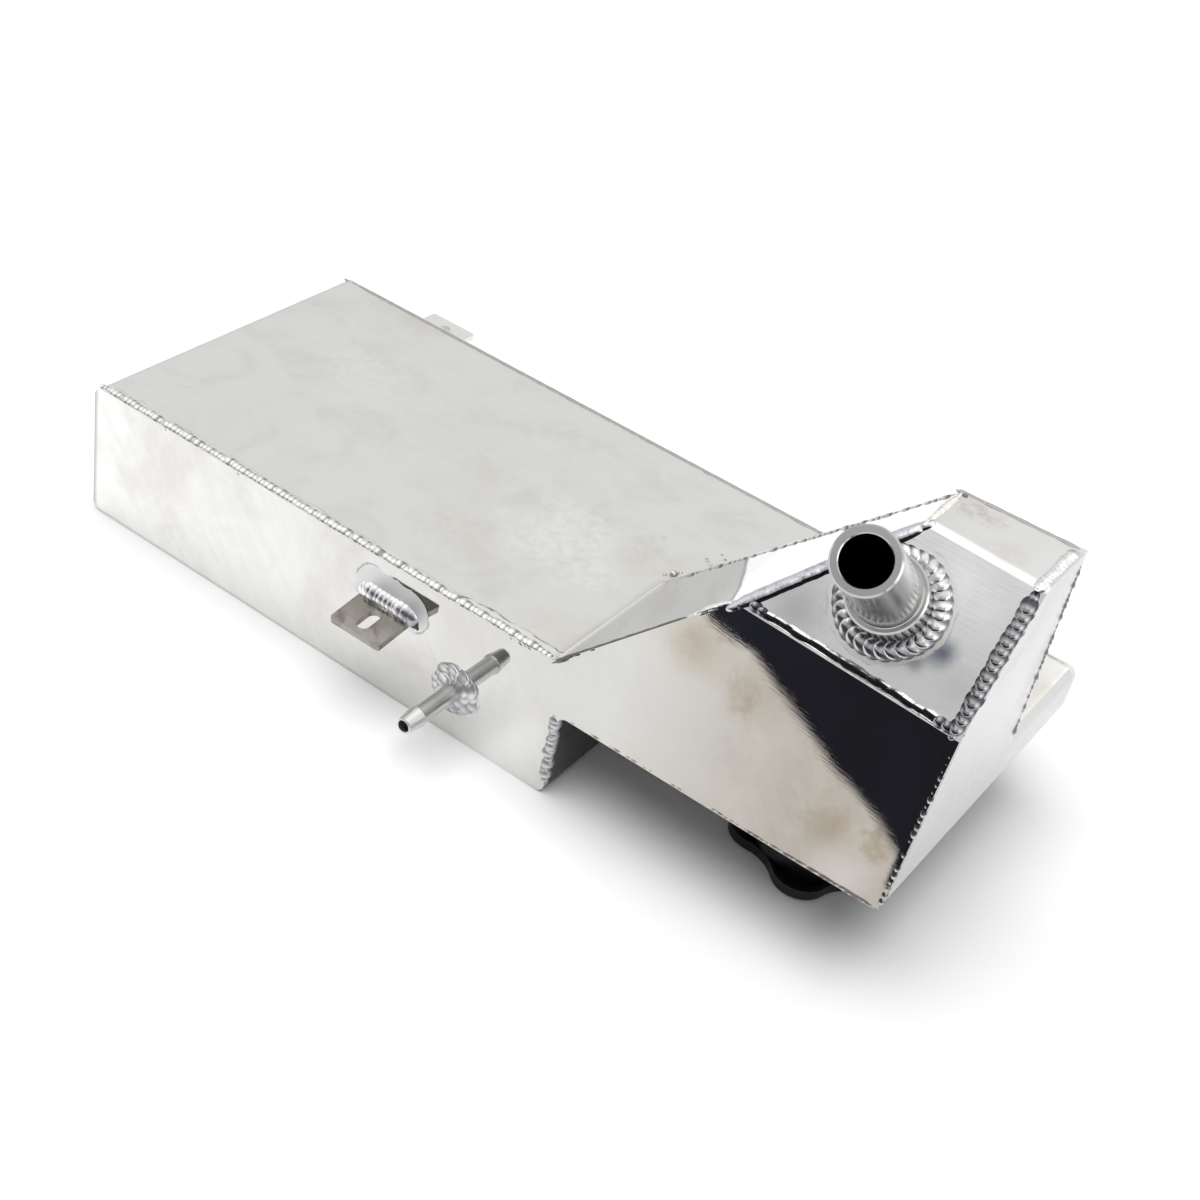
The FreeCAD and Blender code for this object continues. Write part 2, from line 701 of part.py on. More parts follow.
def make_screw_cap():
    root = cap_plate / 2
    body = lobed_face(0, 0).extrude(up * cap_rim_height)
    low_edges = [edge for edge in body.Edges if edge.BoundBox.ZMax < TINY]
    body = body.makeFillet(cap_edge_radius, low_edges)
    body = body.cut(lobed_face(cap_wall, cap_plate).extrude(up * cap_skirt_height))
    body = body.fuse(pipe(skirt_radius, skirt_bore_radius, cap_skirt_height - root, root))
    body = body.fuse(pipe(cap_hub_radius, stem_radius + slack, cap_hub_height - root, root))
    return body.removeSplitter()


def make_cap_pieces():
    """Levels are measured from the cap's outer face, which is the lowest one."""
    flange_low = cap_hub_height + hub_fit
    flange_top = flange_low + plug_flange
    top = flange_top + plug_height
    seat_low = top - plug_seat_thickness
    gasket_top = neck_rim - cap_lift
    plug = disc(plug_flange_radius, plug_flange, flange_low)
    plug = plug.fuse(disc(plug_radius, plug_height, flange_top))
    plug = plug.fuse(disc(stem_radius, flange_low - cap_plate - slack, cap_plate + slack))
    plug = plug.cut(disc(plug_radius - plug_wall, seat_low - flange_top, flange_top))
    plug = plug.cut(disc(plug_seat_radius, 2 * plug_seat_thickness, seat_low))
    plug = plug.cut(disc(stem_bore_radius, 2 * flange_top, 0))
    groove_low = flange_top + ring_groove_level
    plug = plug.cut(pipe(2 * plug_radius, plug_radius - ring_groove_depth, ring_groove_height, groove_low))
    vent_centre = Vector(0, 0, flange_top + 2 * plug_vent_radius + plug_vent_clearance)
    for index in range(plug_vent_count):
        vent = Part.makeCylinder(plug_vent_radius, 2 * plug_radius, vent_centre, along)
        vent.rotate(Vector(0, 0, 0), up, 360.0 * index / plug_vent_count)
        plug = plug.cut(vent)

    gasket_radius = plug_flange_radius - gasket_edge
    gasket = pipe(gasket_radius, plug_radius + gasket_fit, gasket_top - flange_top, flange_top)
    ring_outer = neck_bore_radius - ring_fit
    ring_inner = plug_radius - ring_groove_depth
    ring_level = groove_low + (ring_groove_height - ring_thickness) / 2
    ring_top = ring_level + ring_thickness
    bulge = (ring_outer - ring_inner) / 4
    ring = turned([(ring_inner, ring_level + bulge), (ring_inner + bulge, ring_level),
                   (ring_outer - bulge, ring_level), (ring_outer, ring_level + bulge),
                   (ring_outer, ring_top - bulge), (ring_outer - bulge, ring_top),
                   (ring_inner + bulge, ring_top), (ring_inner, ring_top - bulge)])

    relief_top = seat_low - valve_fit
    relief_low = relief_top - relief_disc
    relief = disc(relief_radius, relief_disc, relief_low)
    guide_low = relief_low - relief_guide_height
    guide_bore = relief_guide_radius - relief_guide_wall
    guide_height = relief_guide_height + relief_disc / 2
    relief = relief.fuse(pipe(relief_guide_radius, guide_bore, guide_height, guide_low))
    relief = relief.cut(disc(relief_hole_radius, 3 * relief_disc, relief_low - relief_disc))
    spring_top = relief_low - valve_fit
    relief_spring = coil(relief_spring_radius, relief_wire_radius, flange_top + valve_fit, spring_top,
                         relief_turns)

    vacuum_low = relief_top + valve_fit
    foot_top = relief_low - vacuum_stem_length + vacuum_foot
    vacuum = disc(vacuum_disc_radius, vacuum_disc, vacuum_low)
    vacuum = vacuum.fuse(disc(vacuum_stem_radius, vacuum_low - foot_top + vacuum_disc / 2, foot_top))
    vacuum = vacuum.fuse(disc(vacuum_foot_radius, vacuum_foot, foot_top - vacuum_foot))
    vacuum_spring = coil(vacuum_spring_radius, vacuum_wire_radius, foot_top + valve_fit, spring_top,
                         vacuum_turns)

    pieces = {"screw_cap": make_screw_cap(), "cap_plug": plug, "cap_gasket": gasket, "plug_ring": ring,
              "relief_valve": relief, "relief_spring": relief_spring,
              "vacuum_valve": vacuum, "vacuum_spring": vacuum_spring}
    for piece in pieces.values():
        piece.translate(Vector(neck_x, neck_y, cap_lift))
    return pieces


def make_tank():
    outer, inner, parts = make_sheets()
    near_tab, far_tab = make_tabs(outer)
    parts["baffle_plate"] = make_baffle(inner)
    parts["outlet_stub"] = make_outlet_stub()
    parts["outlet_weld"] = make_outlet_weld()
    parts["return_barb"] = make_return_barb()
    parts["barb_weld"] = make_barb_weld()
    parts["near_mount_tab"] = near_tab
    parts["near_tab_weld"] = make_tab_weld(outer, near_tab, near_tab_x, near_tab_z, 0)
    parts["far_mount_tab"] = far_tab
    under_far_tab = far_tab_z - tab_sheet - 2 * tab_weld_lift
    parts["far_tab_weld"] = make_tab_weld(outer, far_tab, far_tab_x, under_far_tab, width)
    parts["filler_neck"] = make_filler_neck()
    parts["neck_weld"] = make_neck_weld()
    parts.update(make_seams(outer))
    ring_room = disc(coin_ring_radius + coin_radius + ridge_seam_gap, 2 * coin_radius, -coin_radius)
    parts["ridge_seam"] = parts["ridge_seam"].cut(stand(ring_room, stub_base, face_plane[1]))
    parts.update(make_cap_pieces())
    return parts


# The origin is the middle of the flat face that the tank rests on.
origin = Vector(full_length / 2, width / 2, 0)

os.makedirs("parts", exist_ok=True)
for name, shape in make_tank().items():
    shape.translate(origin * -1)
    shape.exportStep("parts/" + name + ".step")
    print(name, "solids", len(shape.Solids), "volume", round(shape.Volume), "valid", shape.isValid())
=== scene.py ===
# %% [markdown]
# # A welded aluminium coolant tank
# The tank is folded from 3 mm sheet and joined with rope-like weld beads. This lesson dresses the
# measured model: every sheet gets its own polish, every bead gets its ripples, and a small studio
# with a pale floor shows the bright metal. Blender counts in metres, so sizes in millimetres are
# multiplied by MM.

# %% Load the measured model
import math

import bpy
from mathutils import Matrix, Vector


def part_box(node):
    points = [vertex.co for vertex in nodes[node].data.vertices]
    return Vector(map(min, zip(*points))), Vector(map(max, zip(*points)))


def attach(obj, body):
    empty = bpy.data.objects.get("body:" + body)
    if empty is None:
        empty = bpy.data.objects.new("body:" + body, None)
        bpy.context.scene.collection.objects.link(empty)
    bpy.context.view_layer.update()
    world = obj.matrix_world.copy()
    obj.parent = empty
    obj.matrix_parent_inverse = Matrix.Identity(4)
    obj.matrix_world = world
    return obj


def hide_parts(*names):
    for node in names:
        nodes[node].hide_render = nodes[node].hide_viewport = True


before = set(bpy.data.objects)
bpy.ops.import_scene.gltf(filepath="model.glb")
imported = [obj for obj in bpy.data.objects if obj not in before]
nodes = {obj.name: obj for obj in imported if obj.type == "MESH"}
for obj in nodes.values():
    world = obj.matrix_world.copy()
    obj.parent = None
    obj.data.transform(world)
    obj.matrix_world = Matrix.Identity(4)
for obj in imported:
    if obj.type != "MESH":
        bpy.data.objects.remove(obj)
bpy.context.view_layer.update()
MM = 0.001


def rounded(rows):
    return [[round(value, 4) for value in row] for row in rows]


# %% [markdown]
# ## Where things are
# The weld beads and the polish follow the tank's edges, so the edges come first. Two forms make
# them: the flat box, and the well whose ramp, strip and outlet face stand on it. The planes are
# written as a point and a normal, and corners are where three planes meet.

# %% Edges of the box and the well
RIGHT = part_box("floor_sheet")[1].x
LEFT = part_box("top_sheet")[0].x
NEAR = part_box("near_side_plate")[0].y
FAR_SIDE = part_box("far_side_plate")[1].y
BOX_TOP = 64.0 * MM
RECESS_TOP = 41.5 * MM
RECESS_LEFT = 128.0 * MM
RAMP_FOOT = 121.0 * MM
RIDGE = Vector((223.5, -19.4, 158.8)) * MM
ALONG = Vector((1, 0, 0))
AWAY = Vector((0, 1, 0))
UP = Vector((0, 0, 1))
LEAN_ANGLE = math.radians(17.5)
FACE_ANGLE = math.radians(48.2)
FACE_FALL = math.radians(5.65)
STRIP_FALL = 3.0 / 48.5
WELL_BACK = (-4.0 * MM, 15.5 * MM)


def meet(*planes):
    """The point that three planes share."""
    rows = Matrix([normal for point, normal in planes])
    return rows.inverted() @ Vector([point.dot(normal) for point, normal in planes])


ramp_foot = Vector((RAMP_FOOT, NEAR, BOX_TOP))
ramp_run = Vector((RIDGE.x - RAMP_FOOT, 0, RIDGE.z - BOX_TOP)).normalized()
ramp_normal = Vector((-ramp_run.z, 0, ramp_run.x))
strip_normal = Vector((STRIP_FALL, 0, 1)).normalized()
face_normal = Vector((math.tan(FACE_FALL), -math.tan(FACE_ANGLE), 1)).normalized()
fold_run = Vector((RIGHT - RAMP_FOOT, 0, RECESS_TOP - BOX_TOP)).normalized()
fold_up = Vector((-fold_run.z, 0, fold_run.x))
lean_normal = fold_up * math.sin(LEAN_ANGLE) - AWAY * math.cos(LEAN_ANGLE)
back_run = Vector((RIGHT - RAMP_FOOT, WELL_BACK[1] - WELL_BACK[0], 0)).normalized()
back_normal = Vector((-back_run.y, back_run.x, 0))
top_plane = (Vector((0, 0, BOX_TOP)), UP)
end_plane = (Vector((RIGHT, 0, 0)), ALONG)
ramp_plane = (ramp_foot, ramp_normal)
strip_plane = (RIDGE, strip_normal)
face_plane = (RIDGE, face_normal)
lean_plane = (ramp_foot, lean_normal)
back_plane = (Vector((RAMP_FOOT, WELL_BACK[0], 0)), back_normal)
ridge_near = meet(ramp_plane, face_plane, lean_plane)
ridge_fold = meet(ramp_plane, strip_plane, face_plane)
ridge_far = meet(ramp_plane, strip_plane, back_plane)
ramp_far_foot = meet(top_plane, ramp_plane, back_plane)
end_near = meet(end_plane, face_plane, lean_plane)
end_fold = meet(end_plane, face_plane, strip_plane)
end_far = meet(end_plane, strip_plane, back_plane)
end_foot = meet(end_plane, top_plane, back_plane)
end_near_low = Vector((RIGHT, NEAR, RECESS_TOP))
print("ridge from", ridge_near[:], "to", ridge_far[:])

# %% Centres of the round pieces and the tabs
STUB_X, STUB_Y = 227.4 * MM, -40.0 * MM
stub_base = meet((Vector((STUB_X, 0, 0)), ALONG), (Vector((0, STUB_Y, 0)), AWAY), face_plane)
BARB = Vector((79.4, -80.0, 23.7)) * MM
NECK = Vector((222.2, -22.0, 41.5)) * MM
NEAR_TAB = Vector((40.3, -80.0, 43.5)) * MM
FAR_TAB = Vector((-75.2, 80.0, 55.0)) * MM
print("outlet stands at", stub_base[:])

# %% [markdown]
# ## Shader helpers
# A finish is a small tree of nodes. These helpers place a node, set its sockets and link it, so that
# each material further down reads like a list of what the surface does.

# %% Node helpers


def feed(tree, socket, value):
    """Links another node's socket, or sets a plain value."""
    if isinstance(value, bpy.types.NodeSocket):
        tree.links.new(value, socket)
    else:
        socket.default_value = value


def put(tree, kind, settings=None, **inputs):
    """Adds a node. Inputs are values or other nodes' sockets."""
    node = tree.nodes.new(kind)
    for key, value in (settings or {}).items():
        setattr(node, key, value)
    for name, value in inputs.items():
        feed(tree, node.inputs[name.replace("_", " ")], value)
    return node


def calc(tree, operation, *values, clamp=False):
    node = put(tree, "ShaderNodeMath", {"operation": operation, "use_clamp": clamp})
    for socket, value in zip(node.inputs, values):
        feed(tree, socket, value)
    return node.outputs[0]


def vector_calc(tree, operation, *values):
    node = put(tree, "ShaderNodeVectorMath", {"operation": operation})
    for socket, value in zip(node.inputs, values):
        feed(tree, socket, value)
    return node.outputs["Value"] if operation in ("DOT_PRODUCT", "DISTANCE") else node.outputs[0]


def stretched(tree, vector, factor):
    """A vector times a number."""
    node = put(tree, "ShaderNodeVectorMath", {"operation": "SCALE"}, Scale=factor)
    feed(tree, node.inputs[0], vector)
    return node.outputs[0]


def ramped(tree, value, low, high):
    """0 at low, 1 at high, smooth between them. Low may be the larger."""
    return put(tree, "ShaderNodeMapRange", {"interpolation_type": "SMOOTHSTEP"}, Value=value, From_Min=low,
               From_Max=high).outputs["Result"]


# A Mix node keeps sockets for every data type, so the colour ones are picked by type.
def mixed(tree, factor, first, second):
    """A colour between two colours."""
    node = put(tree, "ShaderNodeMix", {"data_type": "RGBA"})
    colours = [socket for socket in node.inputs if socket.type == "RGBA"]
    feed(tree, node.inputs[0], factor)
    feed(tree, colours[0], first)
    feed(tree, colours[1], second)
    return [out for out in node.outputs if out.type == "RGBA"][0]


def noise(tree, where, scale, detail, **more):
    return put(tree, "ShaderNodeTexNoise", Vector=where, Scale=scale, Detail=detail, **more).outputs[0]


def bump(tree, height, strength, distance, **more):
    """A normal that leans with the height. More may hold the normal below it."""
    return put(tree, "ShaderNodeBump", Strength=strength, Distance=distance, Height=height, **more).outputs[0]


def tint(red, green, blue):
    return (red, green, blue, 1.0)


def grey(value):
    return tint(value, value, value)


def new_metal(name, metallic=1.0):
    """A material, with its tree, its shader and the Object coordinates that its effects read."""
    material = bpy.data.materials.new(name)
    material.use_nodes = True
    tree = material.node_tree
    shader = tree.nodes["Principled BSDF"]
    shader.inputs["Metallic"].default_value = metallic
    return material, tree, shader.inputs, put(tree, "ShaderNodeTexCoord").outputs["Object"]


# %% [markdown]
# ## Effects that several finishes share
# Cloudy stains, polishing marks, soft spots and the pale halo beside a weld turn up on most sheets.
# Each is a node group with named inputs, so that every sheet can use it at its own strength.

# %% Shared effects
NUMBER, VECTOR = "NodeSocketFloat", "NodeSocketVector"
NOWHERE = (0.0, 0.0, 0.0)
ONE_ALONG = (1.0, 0.0, 0.0)


def new_group(name, inputs, outputs):
    """An empty group that takes the place on the surface and the inputs, and puts out numbers."""
    group = bpy.data.node_groups.new(name, "ShaderNodeTree")
    for label, kind, value in [("Vector", VECTOR, NOWHERE)] + inputs:
        group.interface.new_socket(label, in_out="INPUT", socket_type=kind).default_value = value
    for label in outputs:
        group.interface.new_socket(label, in_out="OUTPUT", socket_type=NUMBER)
    start = group.nodes.new("NodeGroupInput")
    end = group.nodes.new("NodeGroupOutput")
    return group, start.outputs, end.inputs


def make_cloud_group():
    """Soft patches where a cloth or a hand has dulled the metal."""
    group, given, out = new_group(
        "cloudy film", [("Scale", NUMBER, 12.0), ("Low", NUMBER, 0.45), ("High", NUMBER, 0.7)], ["Mask"])
    broad = noise(group, given["Vector"], given["Scale"], 5.0, Roughness=0.62, Distortion=0.6)
    group.links.new(ramped(group, broad, given["Low"], given["High"]), out["Mask"])
    return group


def make_grain_group():
    """Fine marks of a polishing wheel that runs along one direction."""
    group, given, out = new_group(
        "polishing marks",
        [("Along", VECTOR, ONE_ALONG), ("Scale", NUMBER, 900.0), ("Stretch", NUMBER, 0.04)], ["Height"])
    length = vector_calc(group, "DOT_PRODUCT", given["Vector"], given["Along"])
    shrink = calc(group, "MULTIPLY", length, calc(group, "SUBTRACT", given["Stretch"], 1.0))
    squeezed = vector_calc(group, "ADD", given["Vector"], stretched(group, given["Along"], shrink))
    group.links.new(noise(group, squeezed, given["Scale"], 3.0, Roughness=0.6), out["Height"])
    return group


def make_blotch_group():
    """A blotch around a point. Ring 1 leaves only its rim, as a dried drop does; Ragged 0 leaves it round."""
    group, given, out = new_group(
        "blotch", [("Centre", VECTOR, NOWHERE), ("Radius", NUMBER, 0.01), ("Ring", NUMBER, 0.0),
                   ("Ragged", NUMBER, 1.0), ("Inner", NUMBER, 0.55)], ["Mask"])
    broad = noise(group, given["Vector"], 90.0, 3.0, Distortion=0.8)
    fine = noise(group, given["Vector"], 420.0, 3.0)
    wander = calc(group, "ADD", calc(group, "SUBTRACT", broad, 0.5),
                  calc(group, "MULTIPLY", calc(group, "SUBTRACT", fine, 0.5), 0.7))
    reach = vector_calc(group, "DISTANCE", given["Vector"], given["Centre"])
    share = calc(group, "DIVIDE", reach, given["Radius"])
    ragged = calc(group, "MULTIPLY", given["Ragged"], 1.3)
    share = calc(group, "ADD", share, calc(group, "MULTIPLY", wander, ragged))
    hole = calc(group, "MULTIPLY", ramped(group, share, 0.9, 0.3), given["Ring"])
    spread = ramped(group, share, 1.0, given["Inner"])
    group.links.new(calc(group, "SUBTRACT", spread, hole, clamp=True), out["Mask"])
    return group


def share_of_run(group, given):
    """The run from Start to End, the way from Start to here, and how far along the run here lies."""
    run = vector_calc(group, "SUBTRACT", given["End"], given["Start"])
    gap = vector_calc(group, "SUBTRACT", given["Vector"], given["Start"])
    share = calc(group, "DIVIDE", vector_calc(group, "DOT_PRODUCT", gap, run),
                 vector_calc(group, "DOT_PRODUCT", run, run), clamp=True)
    return run, gap, share


def make_line_group():
    """The dulled band around a straight line between two points, and the thin dark rim of that band."""
    group, given, out = new_group(
        "beside a weld", [("Start", VECTOR, NOWHERE), ("End", VECTOR, ONE_ALONG), ("Width", NUMBER, 0.01)],
        ["Mask", "Rim"])
    run, gap, share = share_of_run(group, given)
    distance = vector_calc(group, "DISTANCE", gap, stretched(group, run, share))
    wander = noise(group, given["Vector"], 150.0, 3.0)
    wobble = calc(group, "MULTIPLY", calc(group, "SUBTRACT", wander, 0.5), 4.0 * MM)
    edge = calc(group, "SUBTRACT", calc(group, "ADD", distance, wobble), given["Width"])
    group.links.new(ramped(group, edge, 0.0, -1.0 * MM), out["Mask"])
    broken = noise(group, given["Vector"], 90.0, 2.0)
    band = calc(group, "MULTIPLY", ramped(group, edge, -0.7 * MM, -0.2 * MM),
                ramped(group, edge, 0.5 * MM, 0.1 * MM))
    group.links.new(calc(group, "MULTIPLY", band, ramped(group, broken, 0.38, 0.55)), out["Rim"])
    return group


def make_fade_group():
    """0 at one point, 1 at another, and even across the line between them."""
    group, given, out = new_group("fade", [("Start", VECTOR, NOWHERE), ("End", VECTOR, ONE_ALONG)], ["Mask"])
    group.links.new(share_of_run(group, given)[2], out["Mask"])
    return group


cloud_group = make_cloud_group()
grain_group = make_grain_group()
blotch_group = make_blotch_group()
line_group = make_line_group()
fade_group = make_fade_group()
print("shared effects:", [group.name for group in bpy.data.node_groups])


def use(tree, group, **inputs):
    node = put(tree, "ShaderNodeGroup", {"node_tree": group}, **inputs)
    return node.outputs[0] if len(node.outputs) == 1 else node.outputs


# %% [markdown]
# ## Sheet finishes
# Every sheet is the same metal, but the polish differs: the top is satin with faint clouds, the
# near side is bright, the ramp is a mirror. One function builds them all from its colour, its
# roughness, the direction of the polishing marks, its waviness, its blotches and its weld halos.

# %% A finish for polished sheet
RIM_SHADE = tint(0.2, 0.19, 0.18)


def sheet_metal(name, colour, rough=0.2, along=ONE_ALONG, marks=0.1, marks_scale=900.0, stretch=0.04,
                wave=0.0, film=tint(0.66, 0.64, 0.60), film_amount=0.5, film_scale=12.0, film_rough=0.15,
                mottle=0.0, brush=0.0, brush_along=ONE_ALONG, fades=(), patches=(), blotches=(), halos=(),
                halo_colour=tint(0.74, 0.73, 0.70), halo_rough=0.5):
    """Polished sheet. Patches are even and blotches broken; their centres and radii are in millimetres."""
    material, tree, shader, where = new_metal(name)
    base = colour
    for start, end, shade in fades:
        base = mixed(tree, use(tree, fade_group, Vector=where, Start=start, End=end), base, shade)
    cloud = use(tree, cloud_group, Vector=where, Scale=film_scale)
    base = mixed(tree, calc(tree, "MULTIPLY", cloud, film_amount), base, mixed(tree, 0.5, base, film))
    roughness = calc(tree, "MULTIPLY_ADD", cloud, film_rough, rough)
    if mottle:
        spots = use(tree, cloud_group, Vector=where, Scale=45.0, Low=0.42, High=0.75)
        base = mixed(tree, calc(tree, "MULTIPLY", spots, mottle), base, film)
    if brush:
        streaks = use(tree, grain_group, Vector=where, Along=brush_along, Scale=260.0, Stretch=0.05)
        base = mixed(tree, calc(tree, "MULTIPLY", ramped(tree, streaks, 0.4, 0.65), brush), base, film)
    for centre, radius, shade, strength in patches:
        mask = use(tree, blotch_group, Vector=where, Centre=[value * MM for value in centre],
                   Radius=radius * MM, Ragged=0.25, Inner=0.0)
        base = mixed(tree, calc(tree, "MULTIPLY", mask, strength), base, shade)
    for centre, radius, stain, strength, ring in blotches:
        mask = use(tree, blotch_group, Vector=where, Centre=[value * MM for value in centre],
                   Radius=radius * MM, Ring=ring, Inner=0.3)
        uneven = ramped(tree, noise(tree, where, 260.0, 4.0), 0.3, 0.65)
        mask = calc(tree, "MULTIPLY", mask, calc(tree, "MULTIPLY", uneven, strength))
        base = mixed(tree, mask, base, stain)
        roughness = calc(tree, "MULTIPLY_ADD", mask, 0.06, roughness)
    for start, end, width, rim_strength in halos:
        mask, rim = use(tree, line_group, Vector=where, Start=start, End=end, Width=width * MM)
        base = mixed(tree, calc(tree, "MULTIPLY", mask, 0.8), base, halo_colour)
        base = mixed(tree, calc(tree, "MULTIPLY", rim, rim_strength), base, RIM_SHADE)
        roughness = calc(tree, "MULTIPLY_ADD", mask, calc(tree, "SUBTRACT", halo_rough, roughness), roughness)
    tree.links.new(base, shader["Base Color"])
    tree.links.new(roughness, shader["Roughness"])
    grain = use(tree, grain_group, Vector=where, Along=along, Scale=marks_scale, Stretch=stretch)
    normal = bump(tree, grain, marks, 0.12 * MM)
    if wave:
        normal = bump(tree, noise(tree, where, 14.0, 1.5), 1.0, wave, Normal=normal)
    tree.links.new(normal, shader["Normal"])
    return material


# %% Colours of stains and of a painted reflection, and where halos and edges run
PALE = tint(0.88, 0.88, 0.87)
SAND = tint(0.66, 0.62, 0.54)
TEAL = tint(0.10, 0.42, 0.36)
NAVY_REFLECTION = tint(0.10, 0.13, 0.19)
UMBER = tint(0.36, 0.30, 0.22)
BRUSHED = (0.62, -0.10, -0.78)
near_line = (Vector((LEFT, NEAR, BOX_TOP)), ramp_foot)
near_line_end = (ramp_foot - Vector((0.044, 0, 0)), ramp_foot)
ring_halo = (stub_base, stub_base + face_normal * 0.002, 23.2, 0.22)
tab_halo = (NEAR_TAB + Vector((-7, 0, 5)) * MM, NEAR_TAB + Vector((11, 0, 4)) * MM, 10.5, 0.6)
barb_halo = (BARB, BARB + ALONG * MM, 11.5, 0.8)
left_edge = Vector((LEFT, NEAR, 0))
print("halos beside", near_line[0][:], "and", near_line[1][:])

# %% Top sheet
teal_specks = [((124.5, 23.2), 1.0), ((127.7, 20.6), 1.6), ((127.3, 30.6), 0.9), ((130.1, 28.6), 1.1),
               ((125.9, 21.4), 1.2)]
top_stains = [((78, -12, 64), 36, PALE, 0.6, 0.0), ((108, 4, 64), 22, SAND, 0.5, 0.0),
              ((2, 4, 64), 44, tint(0.74, 0.73, 0.68), 0.4, 0.0), ((-60, 20, 64), 30, PALE, 0.3, 0.0),
              ((40, -40, 64), 20, tint(0.66, 0.62, 0.55), 0.35, 0.0)]
top_stains += [((*place, 64), size, TEAL, 1.0, 0.0) for place, size in teal_specks]
# The fade lightens the top towards the end plate: a painted brighter reflection.
satin_top = sheet_metal(
    "satin top sheet", tint(0.78, 0.78, 0.765), rough=0.28, marks=0.25, wave=0.4 * MM, film_amount=1.0,
    film=tint(0.58, 0.55, 0.47), film_scale=7.0, mottle=0.3, blotches=top_stains,
    fades=[((0.16, 0, 0), (0.25, 0, 0), tint(0.98, 0.98, 0.97))],
    halos=[(*near_line, 6.0, 0.2), (*near_line_end, 7.4, 1.0)])
print("stains on the top:", len(top_stains))

# %% Near plate
# Each brown smudge has a place, a radius, a strength and how much of it is only a rim.
smudges = [((194, -68.7, 89.2), 11, 0.42, 0.25), ((199, -70, 85), 6, 0.35, 0.2),
           ((178, -64, 106), 7, 0.34, 0.1), ((171, -67, 97), 8, 0.24, 0.3),
           ((220, -72.5, 73.4), 8, 0.30, 0.8), ((225.7, -74.7, 65.4), 8, 0.40, 0.6),
           ((241, -74.5, 63.6), 10, 0.60, 0.15), ((260.3, -73.5, 64.2), 9, 0.75, 0.1),
           ((200.6, -75.5, 66.6), 15, 0.28, 0.6), ((-43, -80, 55), 10, 0.12, 0.2),
           ((-76, -80, 16), 16, 0.10, 0.3), ((101, -80, 35), 15, 0.12, 0.3)]
# Patches: the first lightens the lower plate, a painted reflection of lit floor; the next three darken the
# lean wall beside its mirrored dark room, a painted dark reflection with a brown tone; the two after them
# darken two spots near the end; the umber ones are stains.
near_patches = [((100, -80, 8), 40, tint(0.90, 0.90, 0.89), 0.6),
                ((165, -68, 100), 30, tint(0.62, 0.57, 0.49), 0.5),
                ((172, -68, 98), 19, tint(0.36, 0.31, 0.24), 0.6),
                ((200, -67, 94), 24, tint(0.34, 0.29, 0.23), 0.45),
                ((244, -76, 58), 15, tint(0.28, 0.23, 0.17), 0.55),
                ((254, -80, 47), 20, tint(0.62, 0.59, 0.56), 0.6),
                ((262, -74, 63), 7, UMBER, 0.45), ((244, -75, 62.5), 8, UMBER, 0.3),
                ((196, -69.5, 87), 9, UMBER, 0.35)]
# Fades: the plate darkens towards the right and turns browner past 150 mm, and thin dark lines run along its
# left and bottom edges.
near_fades = [((-0.115, NEAR, 0), (0.125, NEAR, 0), tint(0.65, 0.65, 0.63)),
              ((0.15, NEAR, 0), (0.225, NEAR, 0), tint(0.42, 0.385, 0.34)),
              (left_edge + Vector((2.4 * MM, 0, 0)), left_edge, tint(0.42, 0.42, 0.43)),
              (left_edge + Vector((0, 0, 2.0 * MM)), left_edge, tint(0.55, 0.53, 0.50))]
bright_near = sheet_metal(
    "bright near plate", tint(0.91, 0.91, 0.89), rough=0.012, along=fold_run, marks=0.03,
    marks_scale=2000.0, stretch=0.06, wave=0.2 * MM, film=tint(0.58, 0.55, 0.49), film_amount=0.8,
    film_scale=18.0, film_rough=0.02, mottle=0.2, brush=0.12, brush_along=BRUSHED,
    halo_colour=tint(0.78, 0.78, 0.79),
    blotches=[(centre, radius, UMBER, strength, ring) for centre, radius, strength, ring in smudges],
    patches=near_patches, fades=near_fades, halos=[tab_halo, barb_halo])
print("smudges on the near plate:", len(smudges))

# %% Well, end and recess
# The ramp's fades paint light: the pale line at its foot is a painted highlight, and the grey lower ramp and
# the paler upper ramp are a painted reflection.
mirror_ramp = sheet_metal(
    "mirror ramp", tint(0.98, 0.98, 0.99), rough=0.03, along=ramp_run, marks=0.04, wave=0.3 * MM,
    film_amount=0.2, film_rough=0.04,
    fades=[((0.1225, 0, 0), (0.1255, 0, 0), tint(0.77, 0.77, 0.78)),
           ((0.165, 0, 0), (0.175, 0, 0), tint(0.92, 0.92, 0.93))])
# Patches: the pale one near the fold is a painted highlight, the two navy ones are a painted reflection of
# the outlet's dark side, and the two grey ones darken the face.
outlet_face = sheet_metal(
    "outlet face", tint(0.88, 0.88, 0.885), rough=0.13, marks=0.12, wave=0.5 * MM, film_amount=0.3,
    film_rough=0.1, film_scale=24.0, film=tint(0.55, 0.54, 0.53), mottle=0.12, brush=0.08,
    brush_along=(0.9, 0.3, 0.3),
    patches=[((246, -27, 146), 22, tint(0.97, 0.96, 0.98), 0.8),
             ((200.5, -53.6, 122.9), 16, tint(0.58, 0.58, 0.60), 0.7),
             ((251.4, -43.4, 129.2), 8.5, NAVY_REFLECTION, 0.85), ((245.5, -49.2, 123.0), 4.5, NAVY_REFLECTION, 0.4),
             ((262, -48, 122), 12, tint(0.62, 0.60, 0.57), 0.35)],
    halos=[ring_halo], halo_rough=0.34)
strip_finish = sheet_metal(
    "stained strip", tint(0.76, 0.76, 0.75), rough=0.24, marks=0.2, wave=0.4 * MM, mottle=0.25,
    blotches=[((232, 1.5, 158), 9, UMBER, 0.45, 0.3), ((240, 3, 158), 8, UMBER, 0.35, 0.3),
              ((252, -12, 157), 10, UMBER, 0.15, 0.3)])
